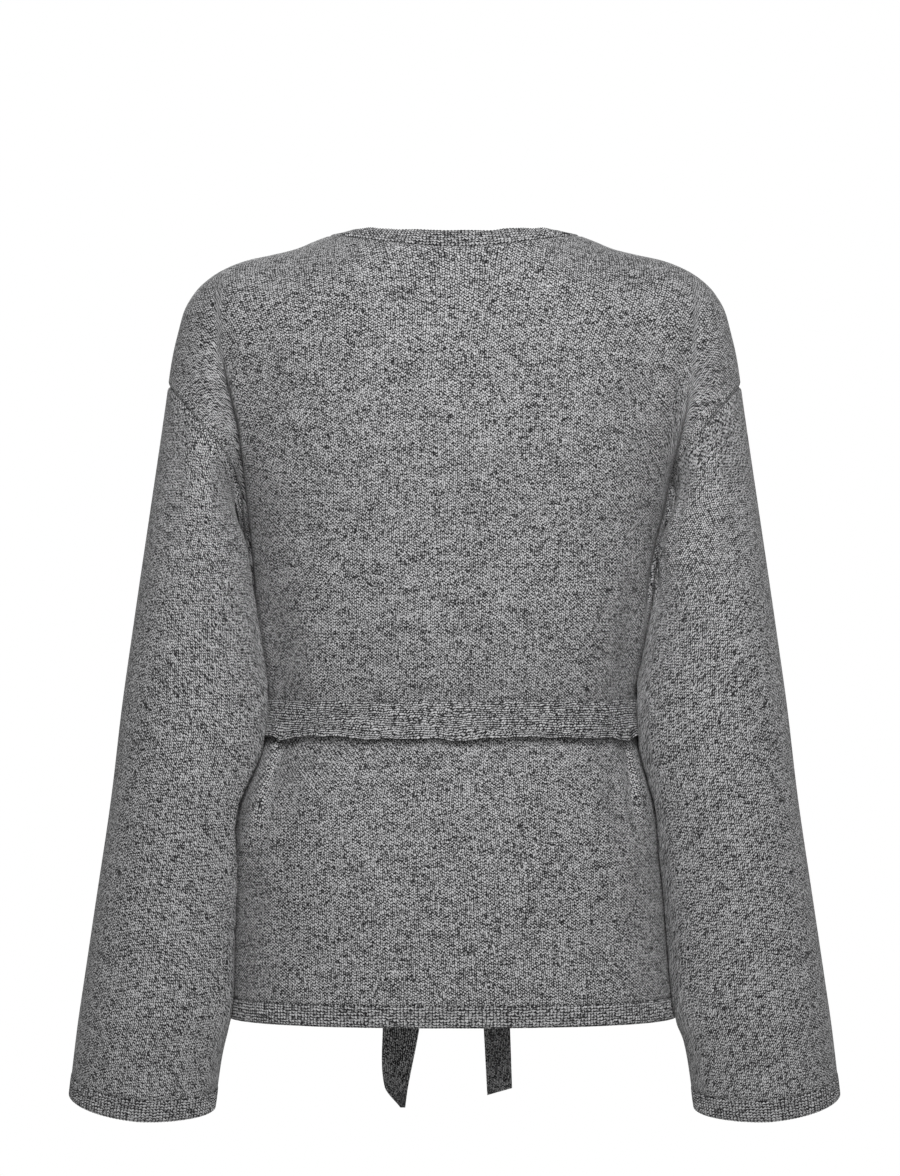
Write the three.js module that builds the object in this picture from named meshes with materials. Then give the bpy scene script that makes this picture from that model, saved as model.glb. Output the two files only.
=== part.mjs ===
// Wrap cardigan, filled out as it is when worn, with nobody inside.
// Millimetres. +Z is up, -Y is the wearer's front and +X the wearer's left.
// The origin lies midway between the two shoulders, level with the neck points.
import * as THREE from "three";

// Driving dimensions.
const knit = 2.4; // thickness of the plain knit
const ribKnit = 2.8; // thickness of the ribbed trims
const seam = 0.3; // gap that stands for each sewn seam
const armholeGap = 0.7; // the same at the armholes, where the walls twist along the seam
const hemZ = -578; // bottom edge of the body
const underarmZ = -225; // level where body and sleeve part
const hemRib = 16; // height of the ribbed hem
const cuffRib = 16; // length of the ribbed cuff
const bandWidth = 14; // width of the ribbed neckband
const neckHalf = 95; // from the centre to the neck point
const neckUp = 5; // height of the neck point
const backNeckDrop = 11.5; // the back neckline's dip below the neck point
const beltTop = -340;
const beltHeight = 28;
const roundness = 2.3; // exponent of the body's rings, where 2 is an ellipse

// Level rings of the body from the hem to above the underarm.
// left and right are the half widths on the wearer's two sides, back and front the depths from the seams.
const bodyRings = [
  { z: -578, left: 169, right: 165.5, back: 117, front: 112 },
  { z: -520, left: 168.5, right: 160, back: 118, front: 113 },
  { z: -455, left: 169, right: 155, back: 116, front: 110 },
  { z: -420, left: 166, right: 149.5, back: 111, front: 104 },
  { z: -390, left: 153, right: 141.5, back: 103, front: 97 },
  { z: -369, left: 145, right: 137, back: 98.5, front: 92.5 },
  { z: -339, left: 144, right: 137, back: 98.5, front: 92.5 },
  { z: -322, left: 146, right: 140, back: 102.5, front: 97 },
  { z: -285, left: 150, right: 148, back: 107, front: 107 },
  { z: -225, left: 156, right: 156, back: 108, front: 117 },
  { z: -180, left: 163, right: 163, back: 109, front: 114 },
  { z: -130, left: 170, right: 170, back: 106, front: 100 },
  { z: -80, left: 177, right: 177, back: 98, front: 82 },
  { z: -40, left: 181, right: 181, back: 87, front: 68 },
  { z: 0, left: 184, right: 184, back: 73, front: 56 },
  { z: 40, left: 184, right: 184, back: 60, front: 46 },
];

// The shoulder's outline, seen from behind, from the neck point over the armhole's top and down the arm.
const shoulderLine = [
  { x: 95, z: 5 },
  { x: 105, z: 1.2 },
  { x: 118, z: -4.2 },
  { x: 137, z: -8.9 },
  { x: 157, z: -13.4 },
  { x: 175, z: -21 },
  { x: 187.8, z: -30.2 },
  { x: 195.5, z: -39.2 },
  { x: 201.5, z: -50 },
  { x: 205.5, z: -64 },
  { x: 210, z: -83 },
  { x: 213.5, z: -106 },
  { x: 217.5, z: -145 },
  { x: 225, z: -200 },
  { x: 234, z: -250 },
];
const armholeTopRow = 11; // row of the shoulder's outline where the armhole seam crosses it

// The armhole seam, seen from behind, from the underarm up to the shoulder's outline.
const armholeSeam = [
  { rise: 0.0, x: 156, z: -225 },
  { rise: 0.2, x: 157, z: -201 },
  { rise: 0.4, x: 161.5, z: -176 },
  { rise: 0.6, x: 172, z: -154 },
  { rise: 0.8, x: 191, z: -132 },
  { rise: 1.0, x: 213.5, z: -106 },
];

// The wrap's edge, seen from the front, for the front that starts at the wearer's right.
const wrapEdge = [
  { z: 5, x: -95 },
  { z: -60, x: -70 },
  { z: -130, x: -40 },
  { z: -215, x: 0 },
  { z: -290, x: 37 },
  { z: -352, x: 66 },
  { z: -420, x: 84 },
  { z: -500, x: 93 },
  { z: -578, x: 97 },
];

// Rings of a sleeve below the armhole. inner and outer are the distances of its sides from the body's centre,
// y is the middle of its depth and depth half of that depth. lean is the drop of the ring towards its back.
const sleeveRings = [
  { z: -290, inner: 140, outer: 238, y: 27, depth: 50, lean: 0 },
  { z: -350, inner: 133, outer: 246.2, y: 30, depth: 50, lean: 0.02 },
  { z: -420, inner: 146, outer: 254.5, y: 31, depth: 48, lean: 0.05 },
  { z: -500, inner: 156, outer: 266.5, y: 29, depth: 46, lean: 0.12 },
  { z: -560, inner: 160, outer: 275.5, y: 27, depth: 45, lean: 0.18 },
  { z: -590, inner: 172, outer: 280.2, y: 22, depth: 44, lean: 0.22 },
  { z: -641, inner: 180.5, outer: 287, y: 10, depth: 43, lean: 0.27 },
];
const sleeveEnd = -641; // level of the cuffs' edge
const sleeveTilt = 0.095; // rise of each ring towards its outer side

// Creases of the body as soft troughs and ridges, from one end to the other, half 1 behind and -1 in front.
// height is along the cloth's outward side, below zero for a trough.
const folds = [
  { half: 1, x0: 175, z0: -84, x1: 163, z1: -190, height: -13, width: 8 },
  { half: 1, x0: -173, z0: -100, x1: -163, z1: -190, height: -12, width: 8 },
  { half: -1, x0: 171, z0: -96, x1: 159, z1: -185, height: -8, width: 9 },
  { half: -1, x0: -172, z0: -92, x1: -159, z1: -185, height: -8, width: 9 },
  { half: 1, x0: 126, z0: -362, x1: 152, z1: -452, height: 6, width: 9 },
  { half: 1, x0: -127, z0: -362, x1: -150, z1: -440, height: 6, width: 9 },
  { half: 1, x0: 108, z0: -366, x1: 122, z1: -425, height: -4, width: 8 },
  { half: 1, x0: -106, z0: -366, x1: -118, z1: -435, height: -5, width: 8 },
  { half: 1, x0: 118, z0: -335, x1: 128, z1: -262, height: -3.5, width: 10 },
  { half: 1, x0: -120, z0: -335, x1: -131, z1: -255, height: -3.5, width: 10 },
];

const lerp = (a, b, t) => a + (b - a) * t;
const clamp = (v) => Math.min(1, Math.max(0, v));
const smooth = (from, to, v) => {
  const t = clamp((v - from) / (to - from));
  return t * t * (3 - 2 * t);
};

// Reads a table's column at any value of its key column, on a smooth curve through the rows.
function along(table, key, column, at) {
  const rising = table[table.length - 1][key] > table[0][key];
  const rows = rising ? table : [...table].reverse();
  const last = rows.length - 1;
  let i = rows.findIndex((row) => row[key] > at) - 1;
  if (at <= rows[0][key]) i = 0;
  else if (i < 0) i = last - 1;
  const slope = (k) => {
    const a = rows[Math.max(0, k - 1)];
    const b = rows[Math.min(last, k + 1)];
    return (b[column] - a[column]) / (b[key] - a[key]);
  };
  const span = rows[i + 1][key] - rows[i][key];
  const t = clamp((at - rows[i][key]) / span);
  const t2 = t * t;
  const t3 = t2 * t;
  return (
    (2 * t3 - 3 * t2 + 1) * rows[i][column] +
    (t3 - 2 * t2 + t) * span * slope(i) +
    (3 * t2 - 2 * t3) * rows[i + 1][column] +
    (t3 - t2) * span * slope(i + 1)
  );
}

// The shoulder's outline as a smooth line, and how far inside it a point lies.
const outlineSteps = 130;
const outline = new THREE.SplineCurve(shoulderLine.map((row) => new THREE.Vector2(row.x, row.z)));
const armholeTop = armholeTopRow / (shoulderLine.length - 1);
const outlinePoints = outline.getPoints(outlineSteps);
function insideOutline(x, z) {
  const here = new THREE.Vector2(x, z);
  return Math.min(...outlinePoints.map((p) => p.distanceTo(here)));
}

// Height of the shoulders' ridge at a distance from the centre, carried on over the neck opening.
const neckRise = 33;
const ridgeRows = shoulderLine.slice(0, 8);
const ridgeEnd = ridgeRows[ridgeRows.length - 1].x;
function ridge(x) {
  if (x >= neckHalf) return along(ridgeRows, "x", "z", x);
  return neckUp + neckRise * (1 - (x / neckHalf) ** 2);
}

// Share of the full depth that the cloth has reached at a distance inside its outline.
const roundOver = (inside, reach) => Math.sqrt(1 - (1 - clamp(inside / reach)) ** 2);

// Depth of the cloth behind (half 1) or before (half -1) the side seams, above the underarm.
// The body's depth rounds over towards the shoulders, and the upper arm's fills it out beside them.
const armRadius = 42;
const armDepth = { back: 49, front: 44 };
const armStart = { neck: 0.45, shoulderX: 165, lowZ: -218, fullZ: -150 };
const topRounding = { back: 52, front: 66 };
const blendPower = 4;
function upperDepth(half, x, z) {
  const side = half > 0 ? "back" : "front";
  const across = clamp(x / along(bodyRings, "z", "left", z)) ** roundness;
  const ring = along(bodyRings, "z", side, z) * (1 - across) ** (1 / roundness);
  const torso = ring * roundOver(ridge(Math.min(x, ridgeEnd)) - z, topRounding[side]);
  const away = insideOutline(x, z) / armRadius;
  const tube = armDepth[side] * lerp(armStart.neck, 1, smooth(neckHalf, armStart.shoulderX, x));
  const fade = smooth(armStart.lowZ, armStart.fullZ, z);
  const arm = away < 2 ? tube * Math.sqrt(1 - (away - 1) ** 2) * fade : 0;
  return (torso ** blendPower + arm ** blendPower) ** (1 / blendPower);
}

// Sum of the creases at a point of one half. Each one swells from its ends to its middle.
const foldEnd = 0.06;
function foldHeight(half, x, z) {
  let sum = 0;
  for (const fold of folds) {
    if (fold.half !== half) continue;
    const dx = fold.x1 - fold.x0;
    const dz = fold.z1 - fold.z0;
    const t = ((x - fold.x0) * dx + (z - fold.z0) * dz) / (dx * dx + dz * dz);
    const run = clamp(t);
    const off = Math.hypot(x - fold.x0 - run * dx, z - fold.z0 - run * dz);
    const taper = Math.sin(Math.PI * lerp(foldEnd, 1 - foldEnd, run)) ** 0.7;
    sum += fold.height * taper * Math.exp(-((off / fold.width) ** 2));
  }
  return sum;
}

// One side above the underarm, as seen from behind: across runs 0 to 1 from the centre to the armhole,
// up runs 0 to 1 from the underarm's level to the shoulder and neck.
const neckShare = 0.44; // share of the panel's half width that ends at the neckline
const frontNeckDrop = 30; // dip of the front's rows between the neck points
function topEdge(half, across) {
  if (across >= neckShare) {
    const t = ((across - neckShare) / (1 - neckShare)) * armholeTop;
    const p = outline.getPoint(t);
    return [p.x, p.y];
  }
  const x = (across / neckShare) * neckHalf;
  const drop = half > 0 ? backNeckDrop : frontNeckDrop;
  return [x, neckUp - drop * (1 - (x / neckHalf) ** 2) ** 1.5];
}
function ringPoint(half, across, z) {
  const angle = (Math.abs(across) * Math.PI) / 2;
  const side = along(bodyRings, "z", across < 0 ? "right" : "left", z);
  const depth = along(bodyRings, "z", half > 0 ? "back" : "front", z);
  const sum = (Math.sin(angle) / side) ** roundness + (Math.cos(angle) / depth) ** roundness;
  const radius = sum ** (-1 / roundness);
  return [radius * Math.sin(angle), radius * Math.cos(angle)];
}
function plan(half, across, up) {
  const top = topEdge(half, across);
  const bottom = [ringPoint(half, across, underarmZ)[0], underarmZ];
  const centre = [0, lerp(underarmZ, topEdge(half, 0)[1], up)];
  const armhole = [along(armholeSeam, "rise", "x", up), along(armholeSeam, "rise", "z", up)];
  const corners = [
    [0, underarmZ],
    [ringPoint(half, 1, underarmZ)[0], underarmZ],
    topEdge(half, 0),
    topEdge(half, 1),
  ];
  return [0, 1].map(
    (i) =>
      (1 - up) * bottom[i] +
      up * top[i] +
      (1 - across) * centre[i] +
      across * armhole[i] -
      (1 - up) * (1 - across) * corners[0][i] -
      (1 - up) * across * corners[1][i] -
      up * (1 - across) * corners[2][i] -
      up * across * corners[3][i],
  );
}

// The worn body's surface. half is 1 behind and -1 in front, across runs -1 to 1 from the wearer's right side
// to the left, level runs 0 to 1 from hem to underarm and 1 to 2 from there to the shoulder.
const crowding = 2; // rows stand closer towards the shoulder's ridge
const blendUp = 0.12; // share of the upper part that blends into the underarm's ring
const tiny = 1e-6;
function skin(half, across, level) {
  const share = Math.min(1, Math.abs(across));
  const sign = across < 0 ? -1 : 1;
  let x;
  let depth;
  let z;
  if (level <= 1) {
    z = lerp(hemZ, underarmZ, level);
    [x, depth] = ringPoint(half, across, z);
  } else {
    const up = 1 - (1 - Math.min(1, level - 1)) ** crowding;
    [x, z] = plan(half, share, up);
    depth = upperDepth(half, x, z);
    const low = smooth(blendUp, 0, up);
    if (low > 0) depth = lerp(depth, ringPoint(half, share, underarmZ)[1], low);
    if (level > 2 - tiny && share >= neckShare) depth = 0;
  }
  const fold = foldHeight(half, sign * x, z) * smooth(0, 30, depth);
  return new THREE.Vector3(sign * x, half * (depth + fold), z);
}

// The surface's outward side at a point.
const step = 0.004;
function outward(half, across, level) {
  const level0 = Math.max(0, level - step);
  const level1 = Math.min(2, level + step);
  const across0 = Math.max(-1, across - step);
  const across1 = Math.min(1, across + step);
  const up = skin(half, across, level1).sub(skin(half, across, level0));
  const side = skin(half, across1, level).sub(skin(half, across0, level));
  const out = up.cross(side).normalize();
  return half > 0 ? out : out.negate();
}

// A closed wall from a grid of points with their outward sides. With around, the columns close into a ring.
function wall(grid, thickness, around = false) {
  const rows = grid.length;
  const columns = grid[0].length;
  const positions = [];
  for (const offset of [thickness / 2, -thickness / 2]) {
    for (const row of grid) {
      for (const { point, out } of row) {
        positions.push(...point.clone().addScaledVector(out, offset));
      }
    }
  }
  const at = (layer, row, column) => (layer * rows + row) * columns + (column % columns);
  const index = [];
  const quad = (a, b, c, d) => index.push(a, b, c, a, c, d);
  const spans = around ? columns : columns - 1;
  for (let r = 0; r + 1 < rows; r++) {
    for (let c = 0; c < spans; c++) {
      quad(at(0, r, c), at(0, r, c + 1), at(0, r + 1, c + 1), at(0, r + 1, c));
      quad(at(1, r, c), at(1, r + 1, c), at(1, r + 1, c + 1), at(1, r, c + 1));
    }
  }
  for (let c = 0; c < spans; c++) {
    quad(at(0, 0, c), at(1, 0, c), at(1, 0, c + 1), at(0, 0, c + 1));
    quad(at(0, rows - 1, c), at(0, rows - 1, c + 1), at(1, rows - 1, c + 1), at(1, rows - 1, c));
  }
  for (let r = 0; r + 1 < rows && !around; r++) {
    quad(at(0, r, 0), at(0, r + 1, 0), at(1, r + 1, 0), at(1, r, 0));
    const c = columns - 1;
    quad(at(0, r, c), at(1, r, c), at(1, r + 1, c), at(0, r + 1, c));
  }
  const geometry = new THREE.BufferGeometry();
  geometry.setAttribute("position", new THREE.Float32BufferAttribute(positions, 3));
  geometry.setIndex(signedVolume(positions, index) < 0 ? index.reverse() : index);
  return geometry;
}
function signedVolume(positions, index) {
  const corner = (i) => new THREE.Vector3().fromArray(positions, index[i] * 3);
  let sum = 0;
  for (let i = 0; i < index.length; i += 3) {
    sum += corner(i).dot(corner(i + 1).cross(corner(i + 2)));
  }
  return sum / 6;
}

// Even steps from one value to another, both included.
const steps = (from, to, count) => Array.from({ length: count + 1 }, (_, i) => lerp(from, to, i / count));

const levelOf = (z) => (z - hemZ) / (underarmZ - hemZ);
const ribLevel = levelOf(hemZ + hemRib);
const seamLevel = levelOf(hemZ + hemRib + seam);
const beltLevels = [levelOf(beltTop - beltHeight), levelOf(beltTop)];
const skirtLevels = steps(seamLevel, beltLevels[0], 9);
const chestLevels = steps(beltLevels[1], 1, 6);
const bodyLevels = [...skirtLevels, ...chestLevels, ...steps(1, 2, 13).slice(1)];
const ribLevels = [0, ribLevel / 2, ribLevel];

// One point of a body panel, kept clear of the seams at its sides and on the shoulder.
const evenedOver = [-0.12, -0.06, 0.06, 0.12]; // levels over which the armhole's outward side is evened
function panelPoint(half, across, level, lift = 0) {
  const point = skin(half, across, level);
  const out = outward(half, across, level);
  const share = Math.abs(across);
  if (share > 1 - tiny && level > 1) {
    for (const near of evenedOver) out.add(outward(half, across, 1 + clamp(level - 1 + near)));
    out.normalize();
  }
  if (level > 2 - tiny && share > neckShare) out.setY(0).normalize();
  if (share > 1 - tiny && level <= 1) out.setY(0).normalize();
  point.addScaledVector(out, lift);
  if (Math.abs(point.y) < seam) point.y = half * seam * 0.5;
  return { point, out };
}

// Columns of the back from the left side to the right, closer together near the armholes' creases.
const outerShares = steps(0, 1, 10).map((q) => lerp(1, neckShare, q ** 1.25));
const neckShares = steps(neckShare, -neckShare, 10).slice(1, -1);
const backShares = [...outerShares, ...neckShares, ...outerShares.map((share) => -share).reverse()];

function backGrid(levels) {
  return levels.map((level) => backShares.map((across) => panelPoint(1, across, level)));
}

// The wrap's edge on one row of the body. side is -1 for the right front and 1 for the left.
function edgeShare(side, level) {
  if (level > 2 - tiny) return side * neckShare;
  let low = -1;
  let high = 1;
  for (let i = 0; i < 32; i++) {
    const middle = (low + high) / 2;
    const p = skin(-1, middle, level);
    if (p.x > -side * along(wrapEdge, "z", "x", p.z)) high = middle;
    else low = middle;
  }
  return (low + high) / 2;
}

// The right front lies over the left one, so it stands off further where the two overlap.
const overlapLift = 4.6;
function frontLift(side, across, level) {
  if (side > 0) return 0;
  return overlapLift * smooth(-1, -0.72, across) * smooth(1.75, 1.2, level);
}
function frontPoint(side, share, level) {
  const across = lerp(side, edgeShare(side, level), share);
  return panelPoint(-1, across, level, frontLift(side, across, level));
}
const frontColumns = steps(0, 1, 16).map((q) => q ** 1.15);
function frontGrid(side, levels) {
  return levels.map((level) => frontColumns.map((share) => frontPoint(side, share, level)));
}

// The neckband runs up the left front's edge, round the back of the neck and down the right front's edge.
// lean is how far its free edge is raised: it leans in around the neck, most at the neck points.
const lean = { middle: -0.15, neckPoint: -0.55, power: 3 };
function bandLine() {
  const levels = [...ribLevels, ...bodyLevels];
  const frontLean = (level) => lean.neckPoint * smooth(1.7, 2, level);
  const edge = (side, level) => ({ ...frontPoint(side, 1, level), lean: frontLean(level) });
  const left = levels.map((level) => edge(1, level));
  const right = levels.map((level) => edge(-1, level)).reverse();
  const back = neckShares.map((across) => ({
    ...panelPoint(1, across, 2),
    lean: lerp(lean.middle, lean.neckPoint, (Math.abs(across) / neckShare) ** lean.power),
  }));
  return [...left, ...back, ...right];
}
function bandGrid() {
  const line = bandLine();
  const columns = line.map((spot, i) => {
    const before = line[Math.max(0, i - 1)].point;
    const after = line[Math.min(line.length - 1, i + 1)].point;
    const forward = after.clone().sub(before).normalize();
    const inward = spot.out.clone().cross(forward).normalize();
    inward.z += spot.lean;
    inward.normalize();
    const out = forward.clone().cross(inward).normalize();
    return steps(seam, bandWidth, 2).map((reach, row) => ({
      point: spot.point.clone().addScaledVector(inward, reach),
      out: row === 0 ? spot.out : out,
    }));
  });
  return [0, 1, 2].map((row) => columns.map((column) => column[row]));
}

// The armhole's loop: up the back from the underarm and down the front. onward points off the body's edge.
function armholeLoop(side) {
  const levels = bodyLevels.filter((level) => level >= 1);
  const up = levels.map((level) => panelPoint(1, side, level));
  const down = levels.slice(1, -1).map((level) => panelPoint(-1, side, level));
  for (const spot of [up[0], up[up.length - 1]]) spot.point.setY(0);
  const loop = [...up, ...down.reverse()];
  return loop.map(({ point, out }, i) => {
    const before = loop[(i + loop.length - 1) % loop.length].point;
    const after = loop[(i + 1) % loop.length].point;
    const onward = out.clone().cross(after.clone().sub(before)).normalize().multiplyScalar(side);
    return { point, out, onward };
  });
}

// The least distance from the centre at which a sleeve clears the body beside it.
const bodyGap = 1.9;
const beltStand = 4; // how far the belt stands off the body
const crookGap = 1.2; // wider gap just below the underarm
const underarmReach = 12; // the rule holds up to this far above the underarm
function clearOfBody(side, y, z) {
  if (z > underarmZ + underarmReach) return 0;
  const level = Math.min(z, underarmZ);
  const depth = along(bodyRings, "z", y > 0 ? "back" : "front", level);
  const width = along(bodyRings, "z", side > 0 ? "left" : "right", level);
  const x = width * (1 - clamp(Math.abs(y) / depth) ** roundness) ** (1 / roundness);
  const beltEnd = beltTop - beltHeight;
  const belt = beltStand * smooth(beltTop + 14, beltTop + 2, z) * smooth(beltEnd - 12, beltEnd - 1, z);
  const crook = crookGap * smooth(underarmZ - 40, underarmZ - 3, z);
  const fold = Math.max(0, foldHeight(y > 0 ? 1 : -1, side * x, level));
  return x + knit + bodyGap + belt + crook + fold;
}

const sleeveTop = -290;
const cuffTop = sleeveEnd + cuffRib;
function sleevePoint(side, turn, z) {
  const ring = (column) => along(sleeveRings, "z", column, z);
  const middle = (ring("inner") + ring("outer")) / 2;
  const half = (ring("outer") - ring("inner")) / 2;
  const angle = Math.PI * (1 - 2 * turn);
  const x = middle + half * Math.cos(angle);
  const y = ring("y") + ring("depth") * Math.sin(angle);
  const height = z + (x - middle) * sleeveTilt - (y - ring("y")) * ring("lean");
  return new THREE.Vector3(side * Math.max(x, clearOfBody(side, y, height)), y, height);
}

// The sleeve's head runs from the armhole's loop to the first ring, t 0 to 1. Near the underarm it first
// arches over, so that body and sleeve hang side by side below.
const leaving = 0.45; // how strongly it sets off from the armhole
const arriving = 0.9; // how strongly it comes down into the first ring
const arch = { width: 5, depth: 40, top: -160 };
function headPoint(side, spot, turn, t) {
  const end = sleevePoint(side, turn, sleeveTop);
  const down = sleevePoint(side, turn, sleeveTop - 4).sub(end).normalize();
  const start = spot.point.clone().addScaledVector(spot.onward, armholeGap);
  const reach = start.distanceTo(end);
  const t2 = t * t;
  const t3 = t2 * t;
  const point = start
    .multiplyScalar(2 * t3 - 3 * t2 + 1)
    .addScaledVector(spot.onward, (t3 - 2 * t2 + t) * reach * leaving)
    .addScaledVector(end, 3 * t2 - 2 * t3)
    .addScaledVector(down, (t3 - t2) * reach * arriving);
  const low = clamp(1 - Math.abs(spot.point.y) / arch.depth) * smooth(arch.top, underarmZ, spot.point.z);
  const over = arch.width * low * smooth(0, 0.12, t);
  const clear = clearOfBody(side, point.y, point.z) * smooth(0.05, 0.25, t);
  point.x = side * Math.max(side * point.x + over * smooth(0.6, 0.3, t), clear);
  return point;
}

// Outward sides for a grid of points whose columns close into a ring.
function withOuts(points, side, firstOuts) {
  const count = points[0].length;
  return points.map((row, r) =>
    row.map((point, c) => {
      if (r === 0 && firstOuts) return { point, out: firstOuts[c] };
      const down = points[Math.min(points.length - 1, r + 1)][c].clone().sub(points[Math.max(0, r - 1)][c]);
      const round = row[(c + 1) % count].clone().sub(row[(c + count - 1) % count]);
      return { point, out: round.cross(down).normalize().multiplyScalar(side) };
    }),
  );
}
const headRows = 9;
const headCrowding = 1.6; // rows stand closer towards the armhole
const armRows = 10;
function sleeveGrid(side) {
  const loop = armholeLoop(side);
  const turns = loop.map((_, i) => i / loop.length);
  const head = steps(0, 1, headRows)
    .map((q) => q ** headCrowding)
    .map((t) => loop.map((spot, i) => headPoint(side, spot, turns[i], t)));
  const arm = steps(sleeveTop, cuffTop + seam, armRows)
    .slice(1)
    .map((z) => turns.map((turn) => sleevePoint(side, turn, z)));
  return withOuts(
    [...head, ...arm],
    side,
    loop.map((spot) => spot.out),
  );
}
function cuffGrid(side) {
  const turns = armholeLoop(side).map((_, i, loop) => i / loop.length);
  const heights = steps(cuffTop, cuffTop - cuffRib, 2);
  return withOuts(
    heights.map((z) => turns.map((turn) => sleevePoint(side, turn, z))),
    side,
  );
}

// The belt lies outside every layer at the waist, so it stands off further in front. It flares a little.
const beltKnit = 3;
const beltOff = 3.4;
const beltOffFront = 9.4;
const beltFlare = 1.5;
function beltGrid() {
  const frontShares = steps(-1, 1, 26).slice(1, -1);
  const spots = [...backShares.map((across) => [1, across]), ...frontShares.map((across) => [-1, across])];
  return steps(0, 1, 3).map((q) =>
    spots.map(([half, across]) => {
      const front = half < 0 ? smooth(1, 0.7, Math.abs(across)) : 0;
      const spot = panelPoint(half, across, levelOf(beltTop - beltHeight * q));
      spot.point.addScaledVector(spot.out, lerp(beltOff, beltOffFront, front) + beltFlare * q);
      return spot;
    }),
  );
}

// The belt's ends below the knot, seen from the front. from and to are the two edges, ahead is the distance
// in front of the fronts and slant how much lower the second edge lies.
const leftTail = [
  { z: -372.9, from: 1.5, to: 20, ahead: 21.6, slant: 0 },
  { z: -392, from: 6, to: 32, ahead: 12, slant: 0 },
  { z: -420, from: 9, to: 36, ahead: 8.5, slant: 0 },
  { z: -500, from: 17, to: 45, ahead: 8.5, slant: 0 },
  { z: -570, from: 24, to: 52, ahead: 8.5, slant: 0 },
  { z: -599, from: 27.4, to: 55.2, ahead: 8.5, slant: 0 },
  { z: -642, from: 35.9, to: 53.7, ahead: 8.5, slant: 0 },
  { z: -658.5, from: 38.3, to: 41.5, ahead: 8.5, slant: 0 },
];
const rightTail = [
  { z: -372.9, from: -20, to: -1.5, ahead: 21.6, slant: 0 },
  { z: -392, from: -31, to: -6, ahead: 12, slant: 0 },
  { z: -420, from: -34, to: -9, ahead: 8.5, slant: 0 },
  { z: -500, from: -38, to: -15, ahead: 8.5, slant: 0 },
  { z: -570, from: -41.5, to: -21, ahead: 8.5, slant: 0 },
  { z: -599, from: -42.9, to: -22.8, ahead: 8.5, slant: 0 },
  { z: -643.5, from: -44.4, to: -25.5, ahead: 8.5, slant: 5.5 },
];
function tailGrid(rows) {
  const between = rows.slice(1).map((row, i) => (row.z + rows[i].z) / 2);
  const heights = [...rows.map((row) => row.z), ...between].sort((a, b) => b - a);
  return heights.map((z) => {
    const row = (column) => along(rows, "z", column, z);
    const width = along(bodyRings, "z", "left", Math.max(z, hemZ));
    const depth = along(bodyRings, "z", "front", Math.max(z, hemZ));
    return steps(0, 1, 4).map((q) => {
      const x = lerp(row("from"), row("to"), q);
      const front = depth * (1 - (Math.abs(x) / width) ** roundness) ** (1 / roundness);
      const point = new THREE.Vector3(x, -front - row("ahead"), z - q * row("slant"));
      return { point, out: new THREE.Vector3(x / width, -1, 0).normalize() };
    });
  });
}

// The knot is a soft squarish lump in front of the belt.
const knotSize = { x: 18, y: 9, z: 18.5 };
const knotMiddle = new THREE.Vector3(0, -115, beltTop - beltHeight / 2);
const knotSquare = 0.72;
const knotCrease = { height: 0.08, spacing: 5 };
function knotGeometry() {
  const geometry = new THREE.SphereGeometry(1, 20, 14);
  const spots = geometry.attributes.position;
  const square = (v, size) => Math.sign(v) * size * Math.abs(v) ** knotSquare;
  for (let i = 0; i < spots.count; i++) {
    const x = square(spots.getX(i), knotSize.x);
    const z = square(spots.getZ(i), knotSize.z);
    const crease = 1 + knotCrease.height * Math.sin((x + z) / knotCrease.spacing);
    const y = square(spots.getY(i), knotSize.y) * crease;
    spots.setXYZ(i, knotMiddle.x + x, knotMiddle.y + y, knotMiddle.z + z);
  }
  const positions = Array.from(spots.array);
  const index = Array.from(geometry.index.array);
  if (signedVolume(positions, index) < 0) geometry.setIndex(index.reverse());
  return geometry;
}

const cardigan = new THREE.Group();
function piece(name, geometry, color) {
  const material = new THREE.MeshStandardMaterial({ color, roughness: 0.95, metalness: 0 });
  const mesh = new THREE.Mesh(geometry, material);
  mesh.name = name;
  cardigan.add(mesh);
}

const knitColor = 0x7f7f81;
const ribColor = 0x7a7a7c;
piece("back", wall(backGrid(bodyLevels), knit), knitColor);
piece("front_left", wall(frontGrid(1, bodyLevels), knit), knitColor);
piece("front_right", wall(frontGrid(-1, bodyLevels), knit), knitColor);
piece("hem_rib_back", wall(backGrid(ribLevels), ribKnit), ribColor);
piece("hem_rib_left", wall(frontGrid(1, ribLevels), ribKnit), ribColor);
piece("hem_rib_right", wall(frontGrid(-1, ribLevels), ribKnit), ribColor);
piece("neckband", wall(bandGrid(), ribKnit), ribColor);
piece("sleeve_left", wall(sleeveGrid(1), knit, true), knitColor);
piece("sleeve_right", wall(sleeveGrid(-1), knit, true), knitColor);
piece("cuff_left", wall(cuffGrid(1), ribKnit, true), ribColor);
piece("cuff_right", wall(cuffGrid(-1), ribKnit, true), ribColor);
piece("belt", wall(beltGrid(), beltKnit, true), ribColor);
piece("belt_knot", knotGeometry(), ribColor);
piece("belt_tail_left", wall(tailGrid(leftTail), beltKnit), ribColor);
piece("belt_tail_right", wall(tailGrid(rightTail), beltKnit), ribColor);

export default cardigan;
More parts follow.
